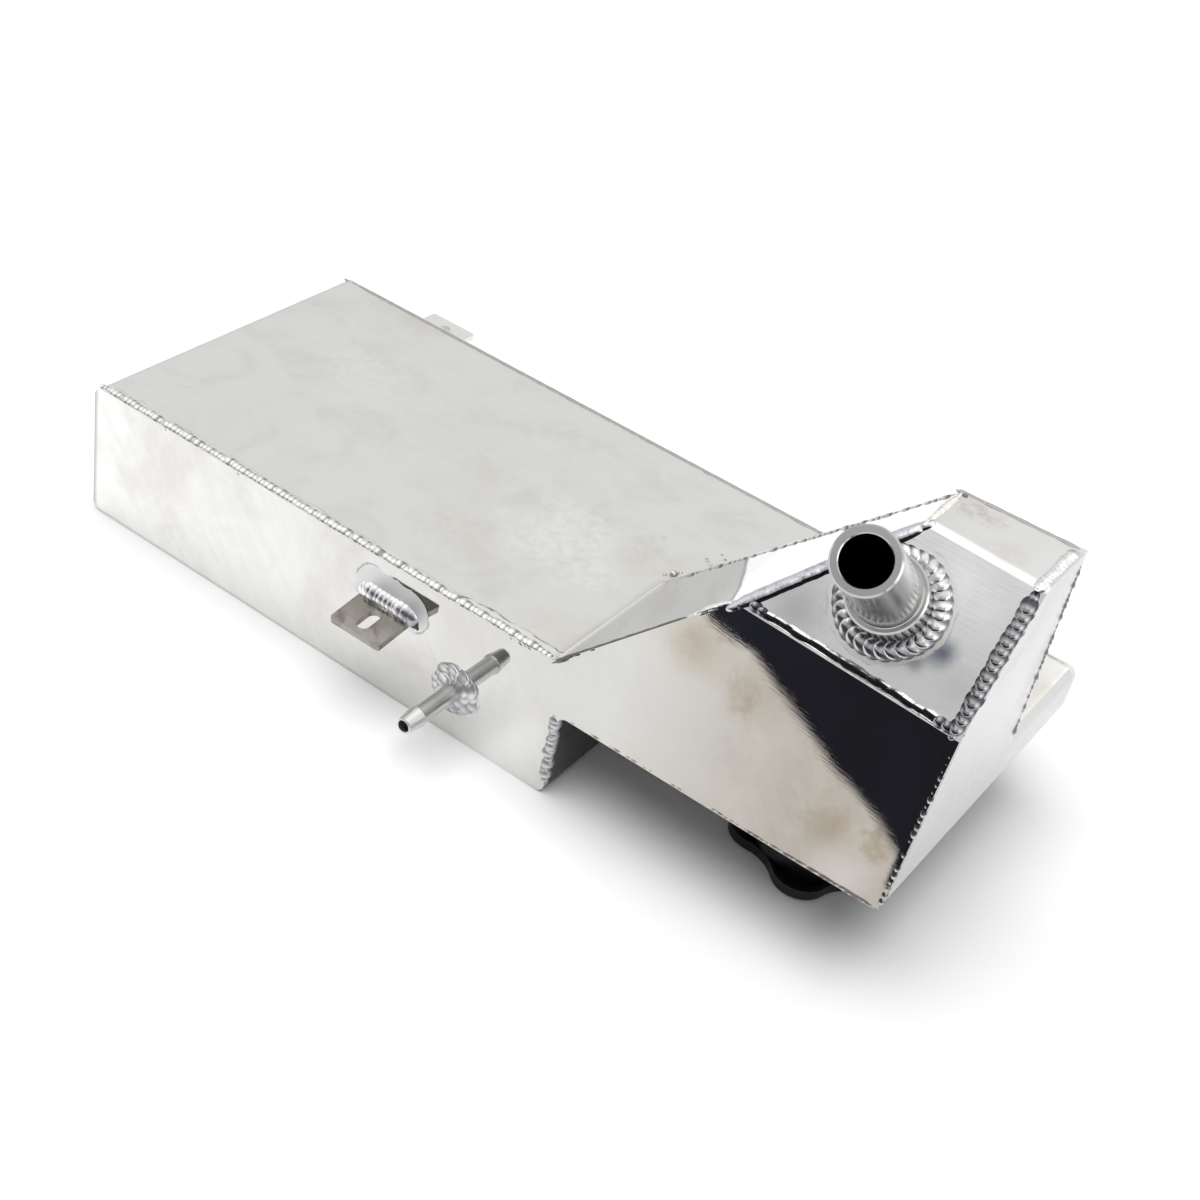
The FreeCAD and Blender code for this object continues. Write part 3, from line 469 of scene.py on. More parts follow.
end_finish = sheet_metal(
    "brushed end plate", tint(0.66, 0.66, 0.665), along=UP, marks=0.3, wave=0.4 * MM, film_amount=0.4,
    patches=[((272, -27, 62), 45, tint(0.64, 0.64, 0.65), 0.6)])
plain_sheet = sheet_metal("plain sheet", tint(0.66, 0.66, 0.65), rough=0.38, marks=0.3, film_amount=0.6)
# The floor sheet's recess and hidden faces are painted near black: painted shade.
recess_shade_finish = sheet_metal("recess in painted shade", tint(0.07, 0.07, 0.075), rough=0.35, marks=0.3)
print("sheet finishes ready")

# %% [markdown]
# ## Which face wears which finish
# The top sheet is one folded piece, but its panels were polished one by one. Its faces are sorted by
# the way they point and by where they lie, and each gets the finish of its panel.

# %% Dress the sheets


def dress(name, finishes, choose=None):
    """Gives a node its finishes; choose says which one a face wears from its centre and normal."""
    piece = nodes[name]
    piece.data.materials.clear()
    for finish in finishes:
        piece.data.materials.append(finish)
    for face in piece.data.polygons:
        face.material_index = choose(face.center, face.normal) if choose else 0


TOP, RAMP, FACE, STRIP, HIDDEN = range(5)


def top_sheet_panel(centre, normal):
    above = centre.z > BOX_TOP + 0.5 * MM
    if above and normal.dot(face_normal) > 0.985:
        return FACE
    if above and normal.dot(strip_normal) > 0.93:
        return STRIP
    if above and normal.dot(ramp_normal) > 0.8 and centre.x > RAMP_FOOT:
        return RAMP
    if above and normal.dot(face_normal) > 0.9:
        return FACE
    if normal.z < -0.5 or centre.z < BOX_TOP / 3 and normal.x > -0.5:
        return HIDDEN
    return TOP


def floor_sheet_panel(centre, normal):
    """The recess is painted dark as shade, and the outside of the end plate is brushed."""
    at_end = centre.x > RIGHT - 6 * MM and centre.z > RECESS_TOP
    return 1 if at_end and (normal.x > 0.7 or normal.z > 0.3) else 0


def near_plate_panel(centre, normal):
    """The plate's upper edge wears the finish of the sheet that it joins."""
    for index, way in enumerate((face_normal, ramp_normal, UP)):
        if normal.dot(way) > 0.97 and centre.z > RECESS_TOP:
            return index + 1
    return 0


dress("top_sheet", [satin_top, mirror_ramp, outlet_face, strip_finish, plain_sheet], top_sheet_panel)
dress("floor_sheet", [recess_shade_finish, end_finish], floor_sheet_panel)
dress("near_side_plate", [bright_near, outlet_face, mirror_ramp, satin_top], near_plate_panel)
dress("far_side_plate", [strip_finish])
dress("well_far_wall", [strip_finish])
dress("baffle_plate", [plain_sheet])
print("sheets dressed")

# %% [markdown]
# ## Weld metal
# A weld is a row of frozen puddles. Each puddle is bright on its crown and painted dark where the next one
# starts, as painted shade in the crease, so the shader reads how far along its own puddle a point lies.

# %% Weld finishes


def weld_metal(name, colour, crease_shade, rough=0.2, crest=-0.6, groove=-0.15, flank=1.1, one_sided=False):
    """Crest and groove say where along a puddle the metal turns dark, as painted shade in the crease; flank
    paints shade on its sides.
    """
    material, tree, shader, where = new_metal(name)
    ripple = put(tree, "ShaderNodeAttribute", {"attribute_name": "ripple"}).outputs["Vector"]
    across = put(tree, "ShaderNodeSeparateXYZ", Vector=ripple).outputs
    # Painted shade in the crease, where the next puddle starts.
    dark = calc(tree, "MULTIPLY", ramped(tree, across[0], crest, groove), 0.85)
    soot = use(tree, cloud_group, Vector=where, Scale=260.0)
    dark = calc(tree, "MAXIMUM", dark, calc(tree, "MULTIPLY", soot, 0.4))
    # Painted shade on the bead's flanks.
    side = calc(tree, "MULTIPLY", across[1], -1.0) if one_sided else calc(tree, "ABSOLUTE", across[1])
    dark = calc(tree, "MAXIMUM", dark, ramped(tree, side, flank, flank + 0.12))
    tree.links.new(mixed(tree, dark, colour, crease_shade), shader["Base Color"])
    tree.links.new(calc(tree, "ADD", calc(tree, "MULTIPLY", dark, 0.2), rough), shader["Roughness"])
    tree.links.new(bump(tree, noise(tree, where, 900.0, 3.0), 0.25, 0.2 * MM), shader["Normal"])
    return material


NO_CREASE = dict(crest=1.2, groove=1.4)
bright_weld = weld_metal("bright weld", tint(0.88, 0.88, 0.89), tint(0.16, 0.16, 0.17), rough=0.12)
grey_weld = weld_metal("grey weld", tint(0.72, 0.71, 0.70), tint(0.12, 0.12, 0.12), rough=0.24)
pale_weld = weld_metal("pale weld", tint(0.86, 0.86, 0.85), tint(0.15, 0.15, 0.155), rough=0.16)
# Rim, seam, lip and ground welds darken one flank: painted shade beside the bead.
rim_weld = weld_metal("rim weld", tint(0.80, 0.79, 0.77), tint(0.03, 0.03, 0.035), crest=-0.1, groove=0.7,
                      flank=-0.35, one_sided=True)
# The bright edge and the rolled lip are beads whose pale colour is a painted highlight on a bent sheet edge.
edge_highlight_bead = weld_metal("bright edge", tint(0.92, 0.90, 0.84), tint(0.4, 0.38, 0.34), rough=0.18, **NO_CREASE)
lip_highlight_bead = weld_metal("rolled lip with painted highlight", tint(0.94, 0.94, 0.95), tint(0.05, 0.05, 0.055), rough=0.14, flank=0.84,
                      one_sided=True, **NO_CREASE)
dark_coin = weld_metal("dark coin", tint(0.38, 0.38, 0.39), tint(0.02, 0.02, 0.025), rough=0.16, crest=-0.7,
                       groove=-0.2)
under_weld = weld_metal("under weld", tint(0.66, 0.63, 0.60), tint(0.20, 0.16, 0.15), rough=0.3)
tick_weld = weld_metal("bright seam", tint(0.95, 0.95, 0.95), tint(0.06, 0.06, 0.065), crest=-0.98,
                       groove=-0.82, flank=0.86, one_sided=True)
far_weld = weld_metal("far edge", tint(0.74, 0.73, 0.71), tint(0.34, 0.32, 0.30), rough=0.3, crest=-0.9,
                      groove=-0.6)
crinkled_weld = weld_metal("crinkled weld", tint(0.76, 0.76, 0.77), tint(0.36, 0.36, 0.37), rough=0.34,
                           crest=-0.8, groove=0.0)
tooth_weld = weld_metal("tooth weld", tint(0.64, 0.62, 0.58), tint(0.03, 0.03, 0.03), crest=-0.8,
                        groove=-0.45)
soft_weld = weld_metal("soft weld", tint(0.90, 0.90, 0.91), tint(0.42, 0.42, 0.44), rough=0.14, crest=-0.4,
                       groove=-0.05)
ground_weld = weld_metal("ground weld", tint(0.66, 0.66, 0.70), tint(0.02, 0.02, 0.02), flank=0.76,
                         one_sided=True, **NO_CREASE)
ring_weld = weld_metal("ring weld", tint(0.66, 0.66, 0.67), tint(0.10, 0.10, 0.11))
print("weld finishes ready")

# %% [markdown]
# ## Rippled beads with geometry nodes
# One tree lays every bead: it walks along the seam's line, sets a flattened ball at each puddle,
# turns it along the seam and leans it back so that the puddles overlap like fallen coins.
# The sizes are inputs, because a fine edge seam and the heavy ring at the outlet differ only in them.

# %% The bead tree
PUDDLE_SEGMENTS = 20
PUDDLE_RINGS = 12
PUDDLE_POINTS = PUDDLE_SEGMENTS * (PUDDLE_RINGS - 1) + 2
BEAD_INPUTS = [("Line", "NodeSocketGeometry", None), ("Pitch", NUMBER, 0.003), ("Length", NUMBER, 0.003),
               ("Width", NUMBER, 0.003), ("Height", NUMBER, 0.002), ("Lean", NUMBER, 0.4),
               ("Wander", NUMBER, 0.0002), ("Uneven", NUMBER, 0.1), ("Taper", NUMBER, 0.05),
               ("Ends", NUMBER, 0.6), ("Outward", VECTOR, (0.0, 0.0, 1.0)), ("Seed", "NodeSocketInt", 1),
               ("Finish", "NodeSocketMaterial", None)]


def make_bead_tree():
    """The tree, and the identifier of each of its inputs."""
    tree = bpy.data.node_groups.new("weld bead", "GeometryNodeTree")
    keys = {}
    for label, kind, value in BEAD_INPUTS:
        socket = tree.interface.new_socket(label, in_out="INPUT", socket_type=kind)
        keys[label] = socket.identifier
        if value is not None:
            socket.default_value = value
    tree.interface.new_socket("Bead", in_out="OUTPUT", socket_type="NodeSocketGeometry")
    given = tree.nodes.new("NodeGroupInput").outputs
    out = tree.nodes.new("NodeGroupOutput").inputs

    # Points along the line, each strayed a little
    curve = put(tree, "GeometryNodeMeshToCurve", Mesh=given["Line"]).outputs[0]
    steps = put(tree, "GeometryNodeResampleCurve", {"mode": "LENGTH"}, Curve=curve,
                Length=given["Pitch"]).outputs[0]
    stray = put(tree, "FunctionNodeRandomValue", {"data_type": "FLOAT_VECTOR"}, Seed=given["Seed"])
    tree.links.new(stretched(tree, (-1.0, -1.0, -1.0), given["Wander"]), stray.inputs[0])
    tree.links.new(stretched(tree, (1.0, 1.0, 1.0), given["Wander"]), stray.inputs[1])
    strayed = put(tree, "GeometryNodeSetPosition", Geometry=steps, Offset=stray.outputs[0]).outputs[0]

    # Turned along the seam, then leaned back
    tangent = put(tree, "GeometryNodeInputTangent").outputs[0]
    upright = put(tree, "FunctionNodeAlignRotationToVector", {"axis": "Z"},
                  Vector=given["Outward"]).outputs[0]
    facing = put(tree, "FunctionNodeAlignRotationToVector", {"axis": "X", "pivot_axis": "Z"},
                 Rotation=upright, Vector=tangent).outputs[0]
    lean = put(tree, "ShaderNodeCombineXYZ", Y=given["Lean"]).outputs[0]
    leaning = put(tree, "FunctionNodeEulerToRotation", Euler=lean).outputs[0]
    turned = put(tree, "FunctionNodeRotateRotation", {"rotation_space": "LOCAL"}, Rotation=facing,
                 Rotate_By=leaning).outputs[0]

    # Uneven in size, and smaller towards the ends
    vary = put(tree, "FunctionNodeRandomValue", {"data_type": "FLOAT"}, Seed=given["Seed"])
    limits = [socket for socket in vary.inputs if socket.type == "VALUE"]
    tree.links.new(calc(tree, "SUBTRACT", 1.0, given["Uneven"]), limits[0])
    tree.links.new(calc(tree, "ADD", 1.0, given["Uneven"]), limits[1])
    uneven = [socket for socket in vary.outputs if socket.type == "VALUE"][0]
    along = put(tree, "GeometryNodeSplineParameter").outputs["Factor"]
    to_end = calc(tree, "MINIMUM", along, calc(tree, "SUBTRACT", 1.0, along))
    growth = put(tree, "ShaderNodeMapRange", {"interpolation_type": "SMOOTHSTEP"}, Value=to_end,
                 From_Max=given["Taper"], To_Min=given["Ends"], To_Max=1.0).outputs[0]
    size = put(tree, "ShaderNodeCombineXYZ", X=given["Length"], Y=given["Width"],
               Z=given["Height"]).outputs[0]
    size = stretched(tree, size, calc(tree, "MULTIPLY", uneven, growth))

    # A ball that remembers its own coordinates, for the weld finishes to read
    ball = put(tree, "GeometryNodeMeshUVSphere", Segments=PUDDLE_SEGMENTS, Rings=PUDDLE_RINGS,
               Radius=1.0).outputs[0]
    marked = put(tree, "GeometryNodeStoreNamedAttribute", {"data_type": "FLOAT_VECTOR", "domain": "POINT"},
                 Geometry=ball, Name="ripple")
    place = put(tree, "GeometryNodeInputPosition").outputs[0]
    tree.links.new(place, [socket for socket in marked.inputs if socket.type == "VECTOR"][0])
    laid = put(tree, "GeometryNodeInstanceOnPoints", Points=strayed, Instance=marked.outputs[0],
               Rotation=turned, Scale=size).outputs[0]
    real = put(tree, "GeometryNodeRealizeInstances", Geometry=laid).outputs[0]
    smooth = put(tree, "GeometryNodeSetShadeSmooth", Geometry=real, Shade_Smooth=True).outputs[0]
    worn = put(tree, "GeometryNodeSetMaterial", Geometry=smooth, Material=given["Finish"]).outputs[0]
    tree.links.new(worn, out["Bead"])
    return tree, keys


bead_tree, bead_keys = make_bead_tree()
print("bead inputs:", list(bead_keys))

# %% Lay one bead


def add_object(name, data):
    thing = bpy.data.objects.new(name, data)
    bpy.context.scene.collection.objects.link(thing)
    return thing


def lay_bead(name, points, closed, settings):
    """Runs the bead tree on a line of points and keeps its result as a plain mesh."""
    count = len(points)
    edges = [(index, index + 1) for index in range(count - 1)]
    if closed:
        edges.append((count - 1, 0))
    line = bpy.data.meshes.new(name + "_line")
    line.from_pydata([point[:] for point in points], edges, [])
    carrier = add_object(name + "_line", line)
    modifier = carrier.modifiers.new("bead", "NODES")
    modifier.node_group = bead_tree
    for label, value in settings.items():
        modifier[bead_keys[label]] = value
    view = bpy.context.evaluated_depsgraph_get()
    mesh = bpy.data.meshes.new_from_object(carrier.evaluated_get(view), depsgraph=view)
    bpy.data.objects.remove(carrier)
    mesh.name = name
    return add_object(name, mesh)


def weld(node, line, outward, finish, seed, sizes, label="_ripples", closed=False):
    """Rippled beads along a line, bulging outward.

    With the plain label they stand in for the model's own bead. With another they lie beside it.
    """
    name = node + label
    piece = lay_bead(name, line, closed, dict(sizes, Outward=tuple(outward), Finish=finish, Seed=seed))
    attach(piece, "tank")
    if label == "_ripples":
        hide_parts(node)
    print(name, "puddles:", len(piece.data.vertices) // PUDDLE_POINTS)


# %% Sizes of the beads
def bead(pitch, length, width, height, lean, wander, uneven, **shares):
    """Lengths are in millimetres. Lean is in radians; uneven and the shares are parts of one."""
    return dict(Pitch=pitch * MM, Length=length * MM, Width=width * MM, Height=height * MM, Lean=lean,
                Wander=wander * MM, Uneven=uneven, **shares)


ROPE = bead(2.2, 3.8, 2.3, 1.3, 0.32, 0.2, 0.12)
FINE = bead(2.4, 3.4, 1.9, 1.2, 0.3, 0.25, 0.16)
RIM = bead(2.6, 5.6, 1.8, 1.1, 0.14, 0.3, 0.1)
EDGE = bead(1.8, 4.5, 0.55, 0.55, 0.0, 0.12, 0.1)
COINS = bead(3.3, 5.0, 3.2, 2.1, 0.45, 0.2, 0.08)
FLAT = bead(2.6, 5.2, 2.6, 1.2, 0.2, 0.15, 0.06)
TEETH = bead(2.8, 2.7, 1.25, 1.2, 0.7, 0.1, 0.12)
RIDGE_BAND = bead(1.6, 6.0, 3.0, 2.0, 0.0, 0.08, 0.02, Taper=0.1, Ends=0.7)
LIP = bead(1.5, 5.5, 1.8, 1.8, 0.0, 0.12, 0.03, Taper=0.4, Ends=0.5)
LUMPS = bead(2.3, 3.1, 2.2, 1.7, 0.42, 0.3, 0.15)
ROUGH = bead(1.3, 2.1, 2.3, 1.7, 0.4, 0.5, 0.2)
UNDER = bead(2.6, 4.4, 0.9, 0.9, 0.1, 0.15, 0.12)
FAR_EDGE = bead(2.4, 4.8, 1.2, 0.9, 0.05, 0.12, 0.1)
RAMP_EDGE = bead(3.4, 4.6, 1.1, 1.0, 0.06, 0.12, 0.1)
CURL = bead(2.6, 2.3, 1.5, 1.0, 0.6, 0.3, 0.2)
TAB_BEAD = bead(2.3, 5.2, 5.4, 3.9, 0.3, 0.1, 0.04, Ends=0.85)
HOOK = bead(2.4, 3.6, 3.4, 2.6, 0.3, 0.2, 0.1)
print("rope bead:", ROPE)

# %% [markdown]
# ## Where the beads run
# A bead follows the edge of two sheets, but it starts and ends short of the corners and lies partly
# in the metal. So each line is the edge cut back at both ends and shifted across and down a little.

# %% Lines for the seams


def on_edge(start, end, distance):
    """The point so many millimetres along an edge."""
    return start + (end - start).normalized() * distance * MM


def run(start, end, before, after, shift):
    """An edge cut back by before and after, in millimetres, and moved by the shift."""
    return [on_edge(start, end, before) + shift, on_edge(end, start, after) + shift]


def inset(side, across, normal, down):
    """The shift that puts a bead across onto a sheet and down into it, in millimetres."""
    return side * across * MM - normal * down * MM


def turned_to(vector, way):
    """The vector or its opposite, whichever points the given way."""
    return vector if vector.dot(way) > 0 else -vector


into_face = turned_to(face_normal.cross((end_near - ridge_near).normalized()).normalized(), AWAY)
down_face = turned_to(face_normal.cross(Vector((face_normal.y, -face_normal.x, 0))).normalized(), -UP)
ridge_way = (ramp_normal + face_normal).normalized()
roll_way = (ramp_normal + strip_normal).normalized()
lip_way = (ramp_normal - AWAY * 0.25).normalized()
print("into the face:", into_face[:], "down the face:", down_face[:])

# %% Edges of the box
near_top = run(Vector((LEFT + 3 * MM, NEAR, BOX_TOP)), ramp_foot, 0, 0, inset(AWAY, 2.6, UP, 0.6))
weld("near_top_seam", near_top, Vector((0, -0.2, 1)), pale_weld, 3, ROPE)
far_top = run(Vector((LEFT + 3 * MM, FAR_SIDE, BOX_TOP)), Vector((RIGHT - 6 * MM, FAR_SIDE, BOX_TOP)), 0, 0,
              inset(AWAY, -1.5, UP, 0.5))
weld("far_top_seam", far_top, UP, far_weld, 4, FAR_EDGE)

# %% Ramp and outlet face
weld("near_ramp_seam", run(ramp_foot, ridge_near, 1, 20, inset(AWAY, 1.1, ramp_normal, 0.45)), ramp_normal,
     tick_weld, 5, RAMP_EDGE)
# The lip is a painted highlight on the ramp's rolled edge, with painted shade under it.
weld("near_ramp_seam", run(ramp_foot, ridge_near, 60, 1, inset(AWAY, 1.6, ramp_normal, 0.6)), lip_way,
     lip_highlight_bead, 25, LIP, label="_lip")
face_sink = inset(into_face, 2.6, face_normal, 0.6)
weld("face_seam", run(ridge_near, end_near, 7, 3, face_sink), face_normal, rim_weld, 6, RIM)
face_start = [on_edge(ridge_near, end_near, distance) + face_sink for distance in (5, 14)]
weld("face_seam", face_start, face_normal, dark_coin, 28, LUMPS, label="_start")
face_corner = [on_edge(end_near, ridge_near, distance) + face_sink for distance in (11, 3)]
weld("face_seam", face_corner, face_normal, dark_coin, 30, LUMPS, label="_corner")
# A thin bead along the seam's outer edge, pale as a painted highlight.
weld("face_seam", run(ridge_near, end_near, 14, 4, inset(into_face, 0.9, face_normal, 0.35)), face_normal,
     edge_highlight_bead, 26, EDGE, label="_edge_highlight")
weld("ridge_seam", run(ridge_near, ridge_fold, 1, 1, inset(down_face, 1.0, ridge_way, 1.0)), ridge_way,
     ground_weld, 19, RIDGE_BAND)
# The roll along the ramp's fold is a painted fold highlight.
weld("ridge_seam", run(ridge_fold, ridge_far, 0, 2, roll_way * -0.8 * MM), roll_way, edge_highlight_bead, 31, LIP,
     label="_roll")

# %% Edges of the end plate
end_sink = Vector((-3.2 * MM, 0, 0))
weld("end_top_seam", run(end_near, end_fold, 2, 4, end_sink - face_normal * 0.7 * MM), face_normal,
     dark_coin, 7, COINS)
weld("end_top_seam", run(end_fold, end_far, -2, 3, end_sink - strip_normal * 0.6 * MM), strip_normal,
     soft_weld, 27, FLAT, label="_flat")
weld("near_end_seam", run(end_near_low, end_near, 2, 3, AWAY * 1.3 * MM - Vector((1.3 * MM, 0, 0))),
     Vector((0.7, -0.7, 0)), tooth_weld, 8, TEETH)

# %% Back of the well
weld("well_corner_seam", run(end_foot, end_far, 3, 4, back_normal * -1.4 * MM - Vector((1.4 * MM, 0, 0))),
     (back_normal + ALONG).normalized(), grey_weld, 9, FINE)
weld("well_top_seam", run(ramp_far_foot, ridge_far, 10, 0, inset(back_normal, -2.8, ramp_normal, 0.8)),
     ramp_normal, grey_weld, 10, FINE)
weld("well_top_seam", run(ridge_far, end_far, 0, 4, inset(back_normal, -1.5, strip_normal, 0.5)),
     strip_normal, far_weld, 33, FAR_EDGE, label="_strip")
curl_start = ramp_far_foot + Vector((-2.0, 4.5, -0.2)) * MM
weld("well_top_seam", [curl_start, curl_start + Vector((3.5, 6.5, 0)) * MM], UP, grey_weld, 32, CURL,
     label="_curl")
weld("well_foot_seam", run(ramp_far_foot, end_foot, 12, 6, back_normal * 0.4 * MM),
     (back_normal + UP).normalized(), grey_weld, 11, ROPE)

# %% Seams around the recess
UNDER_INSET = 0.9 * MM
wall_x = RECESS_LEFT - 1.0 * MM
edge_z = RECESS_TOP + UNDER_INSET
for side, edge_y, way, seed in (("near", NEAR + UNDER_INSET, -1, 12), ("far", FAR_SIDE - UNDER_INSET, 1, 13)):
    upright = [Vector((wall_x, edge_y, 7 * MM)), Vector((wall_x, edge_y, RECESS_TOP))]
    lying = [Vector((RECESS_LEFT, edge_y, edge_z)), Vector((RIGHT - 5 * MM, edge_y, edge_z))]
    weld(side + "_under_seam", upright, Vector((0.6, way, 0)).normalized(), crinkled_weld, seed, ROUGH)
    weld(side + "_under_seam", lying, Vector((0, way, -1)).normalized(), under_weld, seed, UNDER,
         label="_edge")

# %% Ring welds
RING_POINTS = 96
OUTLET_RING, OUTLET_COINS = 17.2, 30
BARB_RING, BARB_PUDDLES = 5.6, 11
NECK_RING = 26.0


def ring(centre, normal, radius, lift):
    """Points of a circle around an axis. Radius and lift are in millimetres."""
    side = normal.orthogonal().normalized()
    other = normal.cross(side)
    points = []
    for index in range(RING_POINTS):
        turn = 2 * math.pi * index / RING_POINTS
        spoke = side * math.cos(turn) + other * math.sin(turn)
        points.append(centre + spoke * (radius * MM) + normal * (lift * MM))
    return points


outlet_bead = bead(2 * math.pi * OUTLET_RING / OUTLET_COINS, 5.4, 4.3, 2.2, 0.45, 0.12, 0.05, Ends=1.0)
barb_bead = bead(2 * math.pi * BARB_RING / BARB_PUDDLES, 4.4, 3.5, 1.5, 0.25, 0.6, 0.14, Ends=1.0)
neck_bead = bead(3.6, 4.2, 2.6, 2.0, 0.5, 0.1, 0.06, Ends=1.0)
weld("outlet_weld", ring(stub_base, face_normal, OUTLET_RING, -0.2), face_normal, ring_weld, 14, outlet_bead,
     closed=True)
weld("barb_weld", ring(BARB, -AWAY, BARB_RING * 1.5, -0.3), -AWAY, crinkled_weld, 15, barb_bead, closed=True)
weld("barb_weld", ring(BARB, -AWAY, BARB_RING * 0.9, 0.9), -AWAY, crinkled_weld, 15, barb_bead,
     label="_ripples_2", closed=True)
weld("neck_weld", ring(NECK, -UP, NECK_RING, -0.2), -UP, bright_weld, 16, neck_bead, closed=True)

# %% Tab welds
near_low = NEAR_TAB + Vector((-10.5 * MM, 1.0 * MM, 2.4 * MM))
near_high = NEAR_TAB + Vector((12.5 * MM, 1.0 * MM, 1.8 * MM))
near_hook = NEAR_TAB + Vector((16.5 * MM, 1.5 * MM, -1.5 * MM))
weld("near_tab_weld", [near_low, near_high], Vector((0, -1, 1)).normalized(), soft_weld, 17, TAB_BEAD)
weld("near_tab_weld", [near_high, near_hook], Vector((0.3, -1, 0.6)).normalized(), dark_coin, 29, HOOK,
     label="_hook")
far_low = FAR_TAB + Vector((-9.5 * MM, -1.0 * MM, -4.8 * MM))
far_high = FAR_TAB + Vector((12.0 * MM, -1.0 * MM, -4.8 * MM))
weld("far_tab_weld", [far_low, far_high], Vector((0, 1, -1)).normalized(), soft_weld, 18, TAB_BEAD)

# %% [markdown]
# ## Turned pieces and tabs
# The outlet stub and the barb came off a lathe, so their marks run around them: rings of fine noise
# that depend only on the distance along the axis. The tabs are dull offcuts with heat stains.

# %% Turned metal


def turned_metal(name, centre, axis, colour=tint(0.50, 0.50, 0.49), rough=0.13):
    material, tree, shader, where = new_metal(name)
    gap = vector_calc(tree, "SUBTRACT", where, tuple(centre))
    height = vector_calc(tree, "DOT_PRODUCT", gap, tuple(axis))
    marks = put(tree, "ShaderNodeTexNoise", {"noise_dimensions": "1D"}, W=height, Scale=1800.0, Detail=4.0)
    cloud = use(tree, cloud_group, Vector=where, Scale=60.0)
    base = mixed(tree, calc(tree, "MULTIPLY", cloud, 0.2), colour, tint(0.5, 0.49, 0.47))
    tree.links.new(base, shader["Base Color"])
    tree.links.new(calc(tree, "MULTIPLY_ADD", cloud, 0.05, rough), shader["Roughness"])
    tree.links.new(bump(tree, marks.outputs[0], 0.1, 0.05 * MM), shader["Normal"])
    return material


dress("outlet_stub", [turned_metal("turned outlet", stub_base, face_normal)])
dress("return_barb", [turned_metal("turned barb", BARB, -AWAY, colour=tint(0.66, 0.66, 0.65), rough=0.34)])
dress("filler_neck", [turned_metal("turned neck", NECK, UP)])
dress("near_mount_tab", [sheet_metal(
    "stained tab", tint(0.36, 0.34, 0.31), rough=0.3, marks=0.5, film=tint(0.06, 0.045, 0.03),
    film_amount=1.0, film_scale=110.0, blotches=[((40, -90, 42), 9, tint(0.16, 0.11, 0.07), 0.6, 0.6)])])
dress("far_mount_tab", [sheet_metal("pale tab", tint(0.80, 0.80, 0.78), rough=0.35, marks=0.3)])
print("turned pieces and tabs dressed")

# %% [markdown]
# ## Cap, seals and valves
# The cap and its plug are moulded in black plastic: a broad soft gloss with a fine skin. The seals
# are rubber, the valve discs are brass, and the springs are drawn steel wire.

# %% Plastic, rubber, brass and steel


def moulded(name, colour, rough, metallic=0.0):
    material, tree, shader, where = new_metal(name, metallic)
    cloud = use(tree, cloud_group, Vector=where, Scale=50.0)
    darker = tint(*(value * 0.7 for value in colour[:3]))
    tree.links.new(mixed(tree, cloud, colour, darker), shader["Base Color"])
    tree.links.new(calc(tree, "ADD", calc(tree, "MULTIPLY", cloud, 0.1), rough), shader["Roughness"])
    tree.links.new(bump(tree, noise(tree, where, 700.0, 3.0), 0.2, 0.1 * MM), shader["Normal"])
    return material


cap_plastic = moulded("moulded cap", tint(0.003, 0.003, 0.0035), 0.38)
rubber = moulded("seal rubber", tint(0.02, 0.02, 0.02), 0.6)
brass = moulded("valve brass", tint(0.72, 0.53, 0.25), 0.25, metallic=1.0)
wire = moulded("spring wire", tint(0.55, 0.55, 0.56), 0.25, metallic=1.0)
for finish, names in ((cap_plastic, ("screw_cap", "cap_plug")), (rubber, ("cap_gasket", "plug_ring")),
                      (brass, ("relief_valve", "vacuum_valve")), (wire, ("relief_spring", "vacuum_spring"))):
    for name in names:
        dress(name, [finish])
print("cap and valves dressed")

# %% [markdown]
# ## Studio
# Bright metal shows its room, so the room is part of the finish: a white floor, a pale sky that is
# greyer behind the camera, one broad lamp overhead, and a dark card in front of the well. The card
# is seen only in reflections: it draws the dark flank of the well, as a dark room does.

# %% Floor, sky, lamp and card
FLOOR_HALF = 7.0
CARD_DEPTH = -420
ROOM = tint(0.027, 0.029, 0.044)
room_outline = [(231, 0), (229, 20), (213, 31), (197, 38), (179, 45), (166, 51), (146, 60), (130, 68),
                (118, 75), (108, 79), (96, 80), (79, 83), (70, 90), (70, 130), (-160, 150), (-160, 320),
                (900, 320), (900, 0)]


def stage_sheet(name, points, **settings):
    """A flat sheet that belongs to the studio. Settings are its shader's inputs."""
    mesh = bpy.data.meshes.new(name)
    mesh.from_pydata(points, [], [tuple(range(len(points)))])
    material = bpy.data.materials.new(name)
    material.use_nodes = True
    for label, value in settings.items():
        material.node_tree.nodes["Principled BSDF"].inputs[label.replace("_", " ")].default_value = value
    mesh.materials.append(material)
    return add_object(name, mesh)


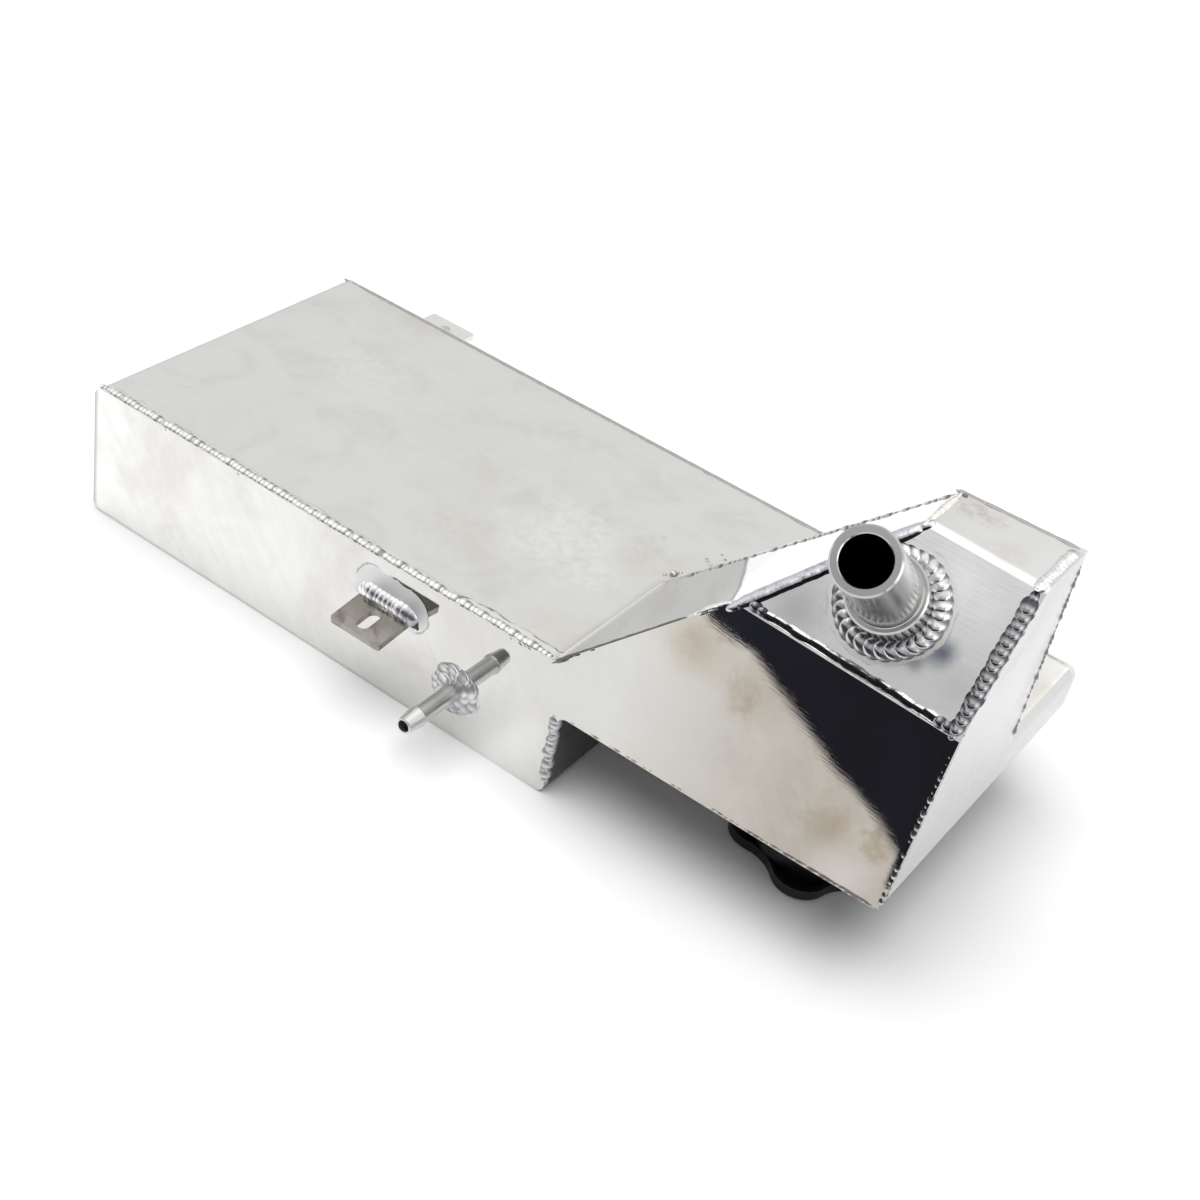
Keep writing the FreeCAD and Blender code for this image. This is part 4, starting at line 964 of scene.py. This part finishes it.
def make_sky():
    """Reflections see a grey front, a pale back and two bright windows; the floor sees an even sky."""
    world = bpy.data.worlds.new("pale studio")
    world.use_nodes = True
    bpy.context.scene.world = world
    tree = world.node_tree
    background = tree.nodes["Background"]
    way = put(tree, "ShaderNodeTexCoord").outputs["Generated"]
    parts = put(tree, "ShaderNodeSeparateXYZ", Vector=way).outputs
    front = ramped(tree, calc(tree, "MULTIPLY", parts[1], -1.0), 0.0, 0.55)
    back_shade = mixed(tree, ramped(tree, parts[2], 0.2, 0.5), grey(0.74), grey(0.86))
    straight_back = calc(tree, "MULTIPLY", ramped(tree, parts[0], -0.22, -0.08),
                         ramped(tree, parts[1], 0.3, 0.6))
    back_shade = mixed(tree, straight_back, back_shade, grey(1.1))
    shade = mixed(tree, front, back_shade, grey(0.58))
    shade = mixed(tree, ramped(tree, parts[2], 0.72, 0.9), shade, grey(1.6))
    right_window = vector_calc(tree, "DOT_PRODUCT", way, (0.86, -0.1, 0.5))
    shade = mixed(tree, ramped(tree, right_window, 0.86, 0.93), shade, grey(2.2))
    left_window = vector_calc(tree, "DOT_PRODUCT", way, (-0.75, -0.25, 0.6))
    shade = mixed(tree, ramped(tree, left_window, 0.9, 0.95), shade, grey(1.05))
    rays = put(tree, "ShaderNodeLightPath").outputs
    shade = mixed(tree, rays["Is Glossy Ray"], grey(0.32), shade)
    shade = mixed(tree, rays["Is Camera Ray"], shade, grey(1.0))
    tree.links.new(shade, background.inputs["Color"])
    background.inputs["Strength"].default_value = 1.0


def make_lamp(name, way, spread, strength):
    """A broad lamp far away. It lights the floor and the plastic; the metal mirrors the sky instead."""
    data = bpy.data.lights.new(name, "SUN")
    data.angle = math.radians(spread)
    data.energy = strength
    lamp = add_object(name, data)
    lamp.rotation_euler = Vector(way).to_track_quat("Z", "Y").to_euler()
    lamp.visible_glossy = False


corners = [(-FLOOR_HALF, -FLOOR_HALF, 0), (FLOOR_HALF, -FLOOR_HALF, 0), (FLOOR_HALF, FLOOR_HALF, 0),
           (-FLOOR_HALF, FLOOR_HALF, 0)]
floor = stage_sheet("studio_floor", corners, Base_Color=tint(0.92, 0.92, 0.93), Roughness=0.9,
                    Specular_IOR_Level=0.1, Emission_Color=grey(1.0), Emission_Strength=0.02)
make_sky()
make_lamp("overhead lamp", (-0.07, -0.10, 1.0), 66.0, 2.78)
room_edge = [(x * MM, CARD_DEPTH * MM, z * MM) for x, z in room_outline]
card = stage_sheet("dark_room", room_edge, Base_Color=grey(0.0), Roughness=1.0, Specular_IOR_Level=0.0,
                   Emission_Color=ROOM, Emission_Strength=1.0)
card.visible_camera = False
card.visible_diffuse = False
card.visible_shadow = False
print("studio ready")

# %% [markdown]
# ## Camera
# The view is the one in which such a tank is usually shown: from the front right and above, with the
# camera rolled a little. The three angles and the lens were found from the tank's corners.

# %% Camera
AZIMUTH, ELEVATION, ROLL = math.radians(28.53), math.radians(36.60), math.radians(12.24)
EYE = Vector((401.0, -569.0, 515.9)) * MM
lens = bpy.data.cameras.new("camera")
lens.sensor_width = 36.0
lens.lens = 57.13
camera = add_object("camera", lens)
look = (Matrix.Rotation(AZIMUTH, 3, "Z") @ Matrix.Rotation(math.pi / 2 - ELEVATION, 3, "X")
        @ Matrix.Rotation(ROLL, 3, "Z"))
camera.matrix_world = Matrix.Translation(EYE) @ look.to_4x4()
bpy.context.scene.camera = camera
bpy.context.scene.view_settings.view_transform = "Standard"
print("camera right and back:", rounded([look.col[0], look.col[2]]))

# %% Update the scene
bpy.context.view_layer.update()
